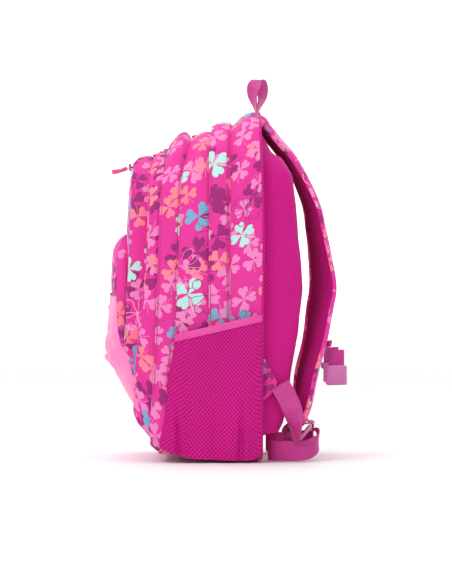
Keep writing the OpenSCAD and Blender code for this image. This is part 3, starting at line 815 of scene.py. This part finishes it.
def half_width(z, half, top, low, high_r, low_r):
    """Half the outline's width at a height."""
    if z > top - high_r:
        return half - high_r + math.sqrt(max(0, high_r ** 2 - (z - top + high_r) ** 2))
    if z < low + low_r:
        return half - low_r + math.sqrt(max(0, low_r ** 2 - (low + low_r - z) ** 2))
    return half


def pocket_face(name, outline, face, z0, z1, edge, puff, rows, seed, wrinkles=0.0):
    """The front of a pocket between two heights, rolled back at its sides."""
    def where(u, v):
        z = z0 + (z1 - z0) * v
        w = half_width(z, *outline)
        s = math.sin((u - 0.5) * math.pi)
        x = w * s
        rim = max(0.0, 1 - (outline[1] - z) / 0.007, 1 - (z - outline[2]) / 0.007)
        roll = between(edge, z) * max(abs(s) ** 5, min(1.0, rim))
        y = between(face, z) + roll - puff * (1 - s * s) * (1 - min(1.0, rim))
        if wrinkles:
            low = max(0.0, 1 - abs(z - 0.128) / 0.05)
            y += wrinkles * low * noise.noise(Vector((x * 22 + seed, z * 60, seed)))
            y += wrinkles * 0.5 * low * noise.noise(Vector((x * 60, z * 110, seed)))
        return Vector((x, y, z))
    return woven_sheet(name, 90, rows, where, flat=lambda p: (p.x + 0.11 * seed, p.z + 0.07 * seed))


def pocket_side(name, outline, under, face, edge, rows):
    """The gusset of a pocket, from what it is sewn to up to its rolled front edge."""
    base = Seam(outline[0], outline[1], outline[2], under, outline[3], outline[4])
    rolled = [(z, y + between(edge, z)) for z, y in face]
    rim = Seam(outline[0], outline[1], outline[2], rolled, outline[3], outline[4])
    return loft(name, base, rim, 0, 1, puff=0.0012, rows=rows, columns=180)


def across_zip(name, outline, face, z, half, edge, body):
    """A zip let into a pocket's face, its tape rolled back with the cloth at both sides."""
    wide = half_width(z, *outline)

    def where(u, v):
        s = math.sin((u - 0.5) * math.pi)
        y = between(face, z) + 0.0006 + between(edge, z) * abs(s) ** 5
        return Vector((wide * s, y, z + (v - 0.5) * 0.009))
    tape = woven_sheet(name, 90, 2, where)
    apply(tape, "SOLIDIFY", thickness=TAPE_THICK, offset=0)
    coil = sweep(name + "_coil", lambda u: Vector(((u * 2 - 1) * half * 0.93, between(face, z) - 0.0004, z)),
                 lambda u: Vector((0, 0, 1)), round_section(0.0012), 200, 8)
    joined(tape, coil)
    smooth(finish_of(tape, "tape"), 60)
    placed(tape, body, "zip_tape", name)
    return tape


def make_pockets():
    body = "pocket_front"
    upper = (0.128, 0.384, 0.142, 0.074, 0.020)
    side = pocket_side("upper_pocket", upper, FRONT_EDGE.depths, UPPER_FACE, UPPER_ROLL, 6)
    top = pocket_face("upper_top", upper, UPPER_FACE, 0.3735, 0.384, UPPER_ROLL, 0.001, 4, 3)
    face = pocket_face("upper_face", upper, UPPER_FACE, 0.142, 0.3665, UPPER_ROLL, 0.002, 40, 3)
    cloth_piece(outwards(soft(joined(side, top, face), 0.0010, 18, 9), 1e-5), body, "printed", "printed_cloth",
                ["upper_pocket"])
    across_zip("upper_pocket_zip", upper, UPPER_FACE, 0.370, 0.075, UPPER_ROLL, body)
    lower = (0.122, 0.288, 0.070, 0.066, 0.030)
    side = pocket_side("lower_pocket_gusset", lower, UNDER, LOWER_FACE, LOWER_ROLL, 8)
    top = pocket_face("lower_top", lower, LOWER_FACE, 0.2135, 0.288, LOWER_ROLL, 0.001, 16, 4)
    cloth_piece(outwards(soft(joined(side, top), 0.0014, 18, 10), 1e-5), body, "printed", "printed_cloth",
                ["lower_pocket_gusset"])
    panel = pocket_face("lower_pocket_panel", lower, LOWER_FACE, 0.0705, 0.2065, LOWER_ROLL, 0.001,
                        60, 5, 0.010)
    cloth_piece(soft(panel, 0.0012, 20, 11), body, "panel", "plain_cloth", ["lower_pocket_panel"], 0.0014)
    across_zip("lower_pocket_zip", lower, LOWER_FACE, 0.210, 0.091, LOWER_ROLL, body)


# ---- Side pockets of netting ----

POCKET_FRONT = [(0.159, -0.0460), (0.115, -0.0540), (0.060, -0.0570), (0.014, -0.0650), (0, -0.0650)]
POCKET_REAR = 0.0625


def mouth(y):
    """Height of the pocket's mouth."""
    return 0.159 + 0.025 * (y + 0.046) / 0.108


def pocket_foot(y):
    """Height of the pocket's lower edge, turned up at its ends."""
    corner = max(0.0, y - POCKET_REAR + 0.017)
    turned = 0.017 - math.sqrt(max(0.0, 0.017 ** 2 - corner ** 2))
    return 0.0030 + turned + 0.011 * max(0.0, (-y - 0.030) / 0.036) + 0.004 * max(0.0, (0.02 - y) / 0.08)


def netting_point(hand, u, v):
    """A point of the netting, with the folds that rise from its foot."""
    rear = POCKET_REAR
    z_guess = 0.004 + 0.17 * v
    front = between(POCKET_FRONT, z_guess)
    y = front + (rear - front) * u
    z = pocket_foot(y) + (mouth(y) - pocket_foot(y)) * v
    edge = min(1.0, math.sin(math.pi * min(max(u, 0), 1)) * 2.2) ** 0.6
    stand = 0.0018 + 0.0088 * edge * (0.40 + 0.60 * v)
    low = max(0.0, 1 - z / 0.085)
    for at, deep, wide in ((-0.041, 0.0075, 0.0030), (0.036, 0.0070, 0.0035), (0.004, 0.0030, 0.0070)):
        lean = at - 0.05 * (z - 0.02) * (1 if at < 0 else -1)
        stand -= deep * min(1.0, 1.4 * low) * math.exp(-((y - lean) / wide) ** 2)
        stand += 0.35 * deep * min(1.0, 1.4 * low) * math.exp(-((y - lean - 2 * wide) / wide) ** 2)
    stand += 0.0022 * noise.noise(Vector((y * 38, z * 9, 2.0))) * edge
    return Vector((hand * (SIDE + max(0.0012, stand)), y, z))


def fold_with_front(obj):
    """Bakes the transform of a side pocket's cloth into its mesh."""
    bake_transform(obj)


def make_side_pockets():
    for name, hand in (("right", 1), ("left", -1)):
        net = woven_sheet(f"side_pocket_{name}", 70, 60, lambda u, v: netting_point(hand, u, v))
        apply(net, "SOLIDIFY", thickness=0.0009, offset=0)
        smooth(finish_of(outwards(net), "netting"), 60)
        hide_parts(f"side_pocket_{name}")
        fold_with_front(net)

        def along(u, v):
            p = netting_point(hand, u, 1.0)
            roll = 0.0010 + 0.0006 * math.sin(math.pi * v)
            return p + Vector((hand * roll, 0, -0.0095 * v + 0.0005))
        band = woven_sheet(f"pocket_binding_{name}", 60, 4, along)
        apply(band, "SOLIDIFY", thickness=0.0016, offset=0)
        apply(outwards(band), "SUBSURF", levels=1, render_levels=1)
        smooth(finish_of(band, "binding"), 60)
        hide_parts(f"pocket_binding_{name}")
        fold_with_front(band)


# ---- Padding ----

PAD_FACE = [
    (0.4100, 0.0640), (0.4030, 0.0680), (0.3870, 0.0755), (0.3800, 0.0880), (0.3580, 0.1000), (0.3220, 0.1055),
    (0.2820, 0.1085), (0.2430, 0.1120), (0.2150, 0.1130), (0.1620, 0.1080), (0.1180, 0.1000), (0.0900, 0.0960),
    (0.0490, 0.0900), (0.0350, 0.0840), (0.0330, 0.0640)]


def closed_with(obj):
    """Closes a surface's open rim with one face."""
    alone(obj)
    bpy.ops.object.mode_set(mode="EDIT")
    bpy.ops.mesh.select_mode(type="EDGE")
    bpy.ops.mesh.select_all(action="DESELECT")
    bpy.ops.mesh.select_non_manifold(extend=False)
    bpy.ops.mesh.edge_face_add()
    bpy.ops.mesh.select_all(action="SELECT")
    bpy.ops.mesh.normals_make_consistent(inside=False)
    bpy.ops.object.mode_set(mode="OBJECT")
    return obj


def pad(name, x0, x1, face, rear, body, nodes, round_off=0.018):
    """A moulded pad on the back: face gives its depth at each height."""
    top, foot = face[0][0], face[-1][0]

    def where(u, v):
        z = top + (foot - top) * v
        near = min(u, 1 - u) * (x1 - x0)
        corner = min(1.0, near / round_off)
        share = math.sqrt(max(0.0, 1 - (1 - corner) ** 2))
        deep = between(face, z) - rear
        outer = max(0.0, (z - 0.345) / 0.065)
        inset = 0.055 * outer ** 2
        lo, hi = (x0, x1 - inset) if x0 > 0 else (x0 + inset, x1) if x1 < 0 else (x0, x1)
        x = lo + (hi - lo) * u
        groove = 0.006 * math.exp(-((u - 0.5) / 0.05) ** 2) * (1 if x1 - x0 > 0.06 else 0)
        rest = min(1.0, 10 * min(v, 1 - v) + 0.2)
        return Vector((x, rear + deep * share * (1 - 0.15 * (1 - rest)) - groove * share, z))
    obj = woven_sheet(name, 44, 90, where)
    closed_with(obj)
    soft(obj, 0.0014, 16, len(name))
    smooth(finish_of(obj, "air_mesh"), 60)
    placed(obj, body, "air_mesh", *nodes)
    return obj


def make_back_padding():
    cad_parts["back_board"].data.materials[0] = FINISHES["board"]
    pad("back_pad_right", 0.022, 0.136, PAD_FACE, 0.0625, "bag", ["back_pad_right"])
    pad("back_pad_left", -0.136, -0.022, PAD_FACE, 0.0625, "bag", ["back_pad_left"])
    lumbar = [(0.150, 0.064), (0.146, 0.076), (0.130, 0.084), (0.080, 0.084), (0.062, 0.076), (0.058, 0.064)]
    pad("lumbar_pad", -0.0215, 0.0215, lumbar, 0.0625, "bag", ["lumbar_pad"], 0.012)
    yoke = [(0.4350, 0.0640), (0.4330, 0.0680), (0.4240, 0.0740), (0.4215, 0.0720), (0.4210, 0.0640)]
    top, foot = yoke[0][0], yoke[-1][0]
    obj = woven_sheet("strap_yoke", 60, 16, lambda u, v: Vector((
        -0.083 + 0.166 * u,
        0.0615 + (between(yoke, top + (foot - top) * v) - 0.0615) * min(1, 12 * min(u, 1 - u)) ** 0.5,
        top + (foot - top) * v)))
    closed_with(obj)
    smooth(finish_of(obj, "printed"), 60)
    placed(obj, "bag", "printed_cloth", "strap_yoke")
    for name, hand in (("right", 1), ("left", -1)):
        outline = [
            (0.128, 0.0640, 0.0650), (0.118, 0.0625, 0.0720), (0.100, 0.0625, 0.0810),
            (0.090, 0.0625, 0.0790), (0.078, 0.0625, 0.0640)]
        rear = [(z, a) for z, a, b in outline]
        fore = [(z, b) for z, a, b in outline]
        tab = woven_sheet(f"lower_tab_{name}", 8, 30, lambda u, v: Vector((
            hand * (0.1395 + 0.0012 * math.sin(math.pi * u)),
            between(rear, 0.128 - 0.05 * v) * (1 - u) + between(fore, 0.128 - 0.05 * v) * u, 0.128 - 0.05 * v)))
        cloth_piece(tab, "bag", "printed", "printed_cloth", [f"lower_tab_{name}"], 0.0024)


# ---- Shoulder straps ----

STRAP = [
    (0.047, 0.0655, 0.4215, 1, 0, 0), (0.048, 0.0750, 0.4100, 1, 0, 0),
    (0.049, 0.0850, 0.3976, 1, 0, 0), (0.050, 0.1020, 0.3758, 1, 0.05, 0),
    (0.054, 0.1240, 0.3261, 0.98, 0.2, 0), (0.058, 0.1320, 0.2869, 0.96, 0.27, 0),
    (0.064, 0.1385, 0.2429, 0.93, 0.36, 0), (0.069, 0.1405, 0.2149, 0.91, 0.42, 0),
    (0.074, 0.1370, 0.1918, 0.91, 0.4, 0), (0.080, 0.1325, 0.1622, 0.93, 0.36, 0),
    (0.085, 0.1280, 0.1408, 0.94, 0.33, 0), (0.093, 0.1195, 0.1090, 0.95, 0.3, 0),
    (0.101, 0.1135, 0.0711, 0.97, 0.22, 0), (0.105, 0.1065, 0.0471, 0.99, 0.14, 0)]
STRAP_WIDTH, STRAP_THICK = 0.062, 0.012


def strap_section(width, thick):
    """A foam strap: full in its middle, pressed flat where it is sewn at the edges."""
    def section(v, u):
        turn = TAU * v
        c, s = math.cos(turn), math.sin(turn)
        end = min(1.0, 14 * (1 - u)) ** 0.5
        across = math.copysign(abs(c) ** 0.75, c) * width / 2 * (0.62 + 0.38 * end)
        edge = 1 - 0.55 * (abs(across) / (width / 2)) ** 6
        return across, math.copysign(abs(s) ** 0.6, s) * thick / 2 * edge
    return section


def make_straps():
    for name, hand in (("right", 1), ("left", -1)):
        body = f"strap_{name}"
        path, side = through_stations(mirrored(STRAP, hand))
        foam = sweep(f"strap_foam_{name}", path, side, strap_section(STRAP_WIDTH, STRAP_THICK), 150, 28, 0.01)
        soft(foam, 0.0010, 22, hand)
        # The strap foam's mesh carries painted shade: the air mesh darkened to 0.82.
        smooth(finish_of(foam, "strap_mesh"), 70)
        placed(foam, body, "air_mesh", f"strap_foam_{name}")

        def frame_at(u):
            e = 0.004
            heading = (path(min(1, u + e)) - path(max(0, u - e))).normalized()
            across = side(u)
            across = (across - across.dot(heading) * heading).normalized()
            return across, -heading.cross(across)

        def cover_point(u, v):
            across, out = frame_at(u)
            turn = math.pi * v
            end = min(1.0, 14 * (1 - u)) ** 0.5
            wide = STRAP_WIDTH / 2 * 1.015 * (0.62 + 0.38 * end)
            c, s = math.cos(turn), math.sin(turn)
            a = math.copysign(abs(c) ** 0.75, c) * wide
            lift = (abs(s) ** 0.6) * (STRAP_THICK / 2 + 0.0010) * (1 - 0.5 * (abs(a) / wide) ** 6) + 0.0006
            return path(u) + across * a * hand + out * lift
        cover = woven_sheet(f"strap_cover_{name}", 140, 20, cover_point, (0.4 + 0.2 * hand, 0.13))
        cloth_piece(cover, body, "printed", "printed_cloth", [f"strap_cover_{name}"], 0.0012)
        for edge in (-1, 1):
            def rim(u):
                across, out = frame_at(u)
                end = min(1.0, 14 * (1 - u)) ** 0.5
                return path(u) + across * edge * (STRAP_WIDTH / 2 * (0.62 + 0.38 * end) + 0.0004)
            binding = sweep(f"strap_binding_{name}_{'inner' if edge < 0 else 'outer'}", rim,
                            lambda u: frame_at(u)[1], flat_section(0.0048, 0.0026), 150, 10)
            smooth(finish_of(binding, "printed"), 70)
            placed(binding, body, "printed_cloth")


# ---- Webbing ----

LOOP = [
    (0.024, 0.0570, 0.4395, 1, 0, 0), (0.022, 0.0550, 0.4500, 1, 0.25, 0), (0.018, 0.0520, 0.4650, 0.8, 0.6, 0),
    (0.010, 0.0540, 0.4790, 0.4, 0.9, -0.3), (0.000, 0.0590, 0.4845, 0, 1, 0),
    (-0.010, 0.0630, 0.4790, -0.4, 0.9, 0.3), (-0.018, 0.0650, 0.4650, -0.8, 0.6, 0),
    (-0.022, 0.0600, 0.4500, -1, 0.25, 0), (-0.024, 0.0570, 0.4395, -1, 0, 0)]
TAIL = [
    (0.1440, 0.0840, 0.0970, 0, 0.6, 0.8), (0.1450, 0.0930, 0.0820, 0, 0.7, 0.7),
    (0.1445, 0.1010, 0.0620, 0.3, 0.7, 0.6), (0.1380, 0.1030, 0.0420, 0.8, 0.4, 0.3),
    (0.1220, 0.1020, 0.0300, 1, 0.1, 0.1), (0.1070, 0.1030, 0.0260, 1, 0, 0),
    (0.1070, 0.1084, 0.0324, 1, 0, 0), (0.1070, 0.1122, 0.0370, 1, 0, 0),
    (0.1070, 0.1185, 0.0382, 1, 0, 0), (0.1070, 0.1240, 0.0383, 1, 0, 0),
    (0.1070, 0.1290, 0.0386, 1, 0, 0), (0.1110, 0.1330, 0.0330, 0.8, 0.1, 0.6),
    (0.1190, 0.1315, 0.0240, 0.4, 0, 0.9), (0.1250, 0.1210, 0.0160, 0.15, 0, 1),
    (0.1270, 0.1060, 0.0138, 0, 0, 1),
    (0.1240, 0.0880, 0.0138, 0, 0, 1), (0.1160, 0.0730, 0.0138, 0, 0, 1), (0.1060, 0.0715, 0.0138, 0, 0, 1),
    (0.1000, 0.0820, 0.0138, 0, 0, 1), (0.0990, 0.0950, 0.0138, 0, 0, 1)]


def ribbon_along(name, stations, width, thick, columns, finish="webbing", pinch=0.0):
    """A ribbon along stations, gathered by pinch at the middle of its length."""
    path, side = through_stations(stations)
    plain = flat_section(width, thick)

    def section(v, u):
        across, above = plain(v, u)
        return across * (1 - pinch * math.exp(-((u - 0.5) / 0.12) ** 2)), above
    obj = sweep(name, path, side, section, columns, 16)
    return smooth(finish_of(obj, finish), 50)


def make_webbing():
    handle = ribbon_along("haul_handle", LOOP, form().webbing * 0.8, 0.0018, 120, pinch=0.42)
    placed(handle, "handle", "webbing", "haul_handle")
    for name, hand in (("right", 1), ("left", -1)):
        tail = ribbon_along(f"lower_webbing_{name}", mirrored(TAIL, hand), form().webbing, 0.0016, 240)
        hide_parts(f"lower_webbing_{name}")
        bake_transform(tail)
        low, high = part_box(f"strap_keeper_{name}")
        keeper = ribbon_along(f"strap_keeper_{name}", [
            (hand * 0.107, 0.1150, 0.0620, 1, 0, 0), (hand * 0.107, 0.1190, 0.0540, 1, 0, 0),
            (hand * 0.107, high.y - 0.001, low.z + 0.001, 1, 0, 0)], 0.023, 0.0016, 24)
        placed(keeper, f"strap_{name}", "webbing", f"strap_keeper_{name}")


def box_ribbon(node, body, finish="webbing", slot="webbing", rounding=0.0006):
    """A ribbon in place of a flat CAD piece: the same middle, leaning the same way, with soft edges."""
    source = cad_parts[node]
    alone(source)
    bpy.ops.object.duplicate()
    obj = bpy.context.object
    obj.name = obj.data.name = node + "_ribbon"
    obj.parent = None
    alone(obj)
    for layer in list(obj.data.uv_layers):
        obj.data.uv_layers.remove(layer)
    outwards(obj, 1e-5)
    bpy.ops.object.mode_set(mode="EDIT")
    bpy.ops.mesh.select_all(action="SELECT")
    bpy.ops.uv.cube_project(cube_size=1.0)
    bpy.ops.object.mode_set(mode="OBJECT")
    obj.data.uv_layers.active.name = "cloth"
    apply(obj, "BEVEL", width=rounding, segments=4, limit_method="ANGLE")
    smooth(finish_of(obj, finish), 40)
    placed(obj, body, slot, node)
    return obj


def make_sternum():
    for name in ("left", "right"):
        box_ribbon(f"sternum_anchor_{name}", f"strap_{name}")
        box_ribbon(f"sternum_webbing_{name}", f"sternum_{name}")
    for name, body in (("buckle_plug", "sternum_left"), ("buckle_socket", "sternum_right"),
                       ("adjuster_left", "strap_left"), ("adjuster_right", "strap_right")):
        box_ribbon(name, body, "pale_plastic" if "adjuster" in name else "plastic", "moulded_plastic", 0.0013)


def make_zip_hardware():
    for kind in ("main_{}_left", "main_{}_right", "second_{}_left", "second_{}_right", "upper_{}", "lower_{}"):
        slider, pull = kind.format("slider"), kind.format("pull")
        box_ribbon(slider, slider, "plastic", "moulded_plastic")
        lo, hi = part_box(pull)
        middle = (lo.x + hi.x) / 2
        start, end = Vector((middle, hi.y, hi.z - 0.001)), Vector((middle, lo.y + 0.001, lo.z + 0.002))
        sag = Vector((0, 0.001, -0.001))
        stations = [(*(start.lerp(end, k / 4) + sag * math.sin(math.pi * k / 4)), 0.75, 0.25, 0.60 + 0.05 * k)
                    for k in range(5)]
        tag = ribbon_along(pull, stations, 0.0075, 0.0022, 24, "ribbon", 0.2)
        placed(tag, pull, "ribbon", pull)


# ---- Floor, light and camera ----

def make_stage():
    alone()
    bpy.ops.mesh.primitive_plane_add(size=30, location=(0, 0, -0.0002))
    floor = bpy.context.object
    floor.name = "floor"
    finish = Finish("studio_floor", 0.55, Specular_IOR_Level=0.2)
    colour = finish.mix(finish.cloud(3.0), (0.94, 0.94, 0.94), (0.95, 0.95, 0.95))
    floor.data.materials.append(finish.show(colour))
    bpy.ops.mesh.primitive_plane_add(size=40, location=(-9, 0, 0), rotation=(0, math.pi / 2, 0))
    backdrop = bpy.context.object
    backdrop.name = "backdrop"
    white = Finish("studio_backdrop", 0.9, Emission_Strength=0.8, Emission_Color=(1, 1, 1, 1))
    pale = white.mix(white.cloud(1.0), (0.95, 0.95, 0.95), (0.96, 0.96, 0.96))
    backdrop.data.materials.append(white.show(pale))
    world = bpy.data.worlds.new("studio")
    bpy.context.scene.world = world
    world.use_nodes = True
    world.node_tree.nodes["Background"].inputs["Color"].default_value = (1, 1, 1, 1)
    world.node_tree.nodes["Background"].inputs["Strength"].default_value = 0.62
    for name, place, size, power in (
        ("key", (2.6, -1.3, 2.2), 1.2, 34),
        ("fill", (2.2, 2.0, 1.0), 1.2, 5),
        ("top", (0.1, -0.2, 2.4), 1.6, 16),
    ):
        bpy.ops.object.light_add(type="AREA", location=place)
        light = bpy.context.object
        light.name = light.data.name = name
        light.data.energy, light.data.size = power, size
        light.rotation_euler = (Vector((0, 0, 0.2)) - Vector(place)).to_track_quat("-Z", "Y").to_euler()
    bpy.ops.object.camera_add(location=(4.12, 0.0175, 0.212))
    camera = bpy.context.object
    camera.name = "camera"
    camera.rotation_euler = (math.pi / 2, 0, math.pi / 2)
    camera.data.sensor_fit = "VERTICAL"
    camera.data.sensor_height = 36
    camera.data.lens = 197.3
    bpy.context.scene.camera = camera
    bpy.context.scene.view_settings.view_transform = "Standard"


# ---- Add-on ----

class BACKPACK_OT_finishes(bpy.types.Operator):
    """Makes the cloths and the plastic"""

    bl_idname = "backpack.finishes"
    bl_label = "Finishes"

    def execute(self, context):
        make_finishes()
        return {"FINISHED"}


class BACKPACK_OT_main_body(bpy.types.Operator):
    """Sews the rear half, its flap and base"""

    bl_idname = "backpack.main_body"
    bl_label = "Main body"

    def execute(self, context):
        make_main_body()
        return {"FINISHED"}


class BACKPACK_OT_front_compartment(bpy.types.Operator):
    """Sews the front of the main compartment"""

    bl_idname = "backpack.front_compartment"
    bl_label = "Main front"

    def execute(self, context):
        make_front_compartment()
        return {"FINISHED"}


class BACKPACK_OT_second_compartment(bpy.types.Operator):
    """Sews the second compartment's front"""

    bl_idname = "backpack.second_compartment"
    bl_label = "Second front"

    def execute(self, context):
        make_second_compartment()
        return {"FINISHED"}


class BACKPACK_OT_pockets(bpy.types.Operator):
    """Sews the two front pockets and their zips"""

    bl_idname = "backpack.pockets"
    bl_label = "Front pockets"

    def execute(self, context):
        make_pockets()
        return {"FINISHED"}


class BACKPACK_OT_side_pockets(bpy.types.Operator):
    """Hangs the netting pockets and their bindings"""

    bl_idname = "backpack.side_pockets"
    bl_label = "Side pockets"

    def execute(self, context):
        make_side_pockets()
        return {"FINISHED"}


class BACKPACK_OT_padding(bpy.types.Operator):
    """Makes the back pads, yoke and tabs"""

    bl_idname = "backpack.padding"
    bl_label = "Padding"

    def execute(self, context):
        make_back_padding()
        return {"FINISHED"}


class BACKPACK_OT_straps(bpy.types.Operator):
    """Makes the padded shoulder straps"""

    bl_idname = "backpack.straps"
    bl_label = "Straps"

    def execute(self, context):
        make_straps()
        return {"FINISHED"}


class BACKPACK_OT_webbing(bpy.types.Operator):
    """Makes the haul handle and the straps' webbing"""

    bl_idname = "backpack.webbing"
    bl_label = "Webbing"

    def execute(self, context):
        make_webbing()
        return {"FINISHED"}


class BACKPACK_OT_sternum(bpy.types.Operator):
    """Makes the sternum strap, buckle and adjusters"""

    bl_idname = "backpack.sternum"
    bl_label = "Buckles"

    def execute(self, context):
        make_sternum()
        return {"FINISHED"}


class BACKPACK_OT_zip_hardware(bpy.types.Operator):
    """Makes the sliders and their ribbon pulls"""

    bl_idname = "backpack.zip_hardware"
    bl_label = "Zip pulls"

    def execute(self, context):
        make_zip_hardware()
        return {"FINISHED"}


class BACKPACK_OT_stage(bpy.types.Operator):
    """Sets the floor, lights and camera"""

    bl_idname = "backpack.stage"
    bl_label = "Stage"

    def execute(self, context):
        make_stage()
        return {"FINISHED"}


OPERATORS = (
    BACKPACK_OT_finishes,
    BACKPACK_OT_main_body,
    BACKPACK_OT_front_compartment,
    BACKPACK_OT_second_compartment,
    BACKPACK_OT_pockets,
    BACKPACK_OT_side_pockets,
    BACKPACK_OT_padding,
    BACKPACK_OT_straps,
    BACKPACK_OT_webbing,
    BACKPACK_OT_sternum,
    BACKPACK_OT_zip_hardware,
    BACKPACK_OT_stage,
)


class BACKPACK_PT_panel(bpy.types.Panel):
    """The backpack's pieces, in the order they are made"""

    bl_label = "Backpack"
    bl_idname = "BACKPACK_PT_panel"
    bl_space_type = "VIEW_3D"
    bl_region_type = "UI"
    bl_category = "Backpack"

    def draw(self, context):
        for group in (context.scene.backpack_cloth, context.scene.backpack_form):
            for name in group.__annotations__:
                self.layout.prop(group, name)
        for item in OPERATORS:
            self.layout.operator(item.bl_idname)


CLASSES = (BackpackCloth, BackpackForm, *OPERATORS, BACKPACK_PT_panel)


def register():
    for item in CLASSES:
        bpy.utils.register_class(item)
    bpy.types.Scene.backpack_cloth = PointerProperty(type=BackpackCloth)
    bpy.types.Scene.backpack_form = PointerProperty(type=BackpackForm)


def unregister():
    del bpy.types.Scene.backpack_form
    del bpy.types.Scene.backpack_cloth
    for item in reversed(CLASSES):
        bpy.utils.unregister_class(item)


def main():
    register()
    for item in OPERATORS:
        getattr(bpy.ops.backpack, item.bl_idname.split(".")[1])()


if __name__ == "__main__":
    main()
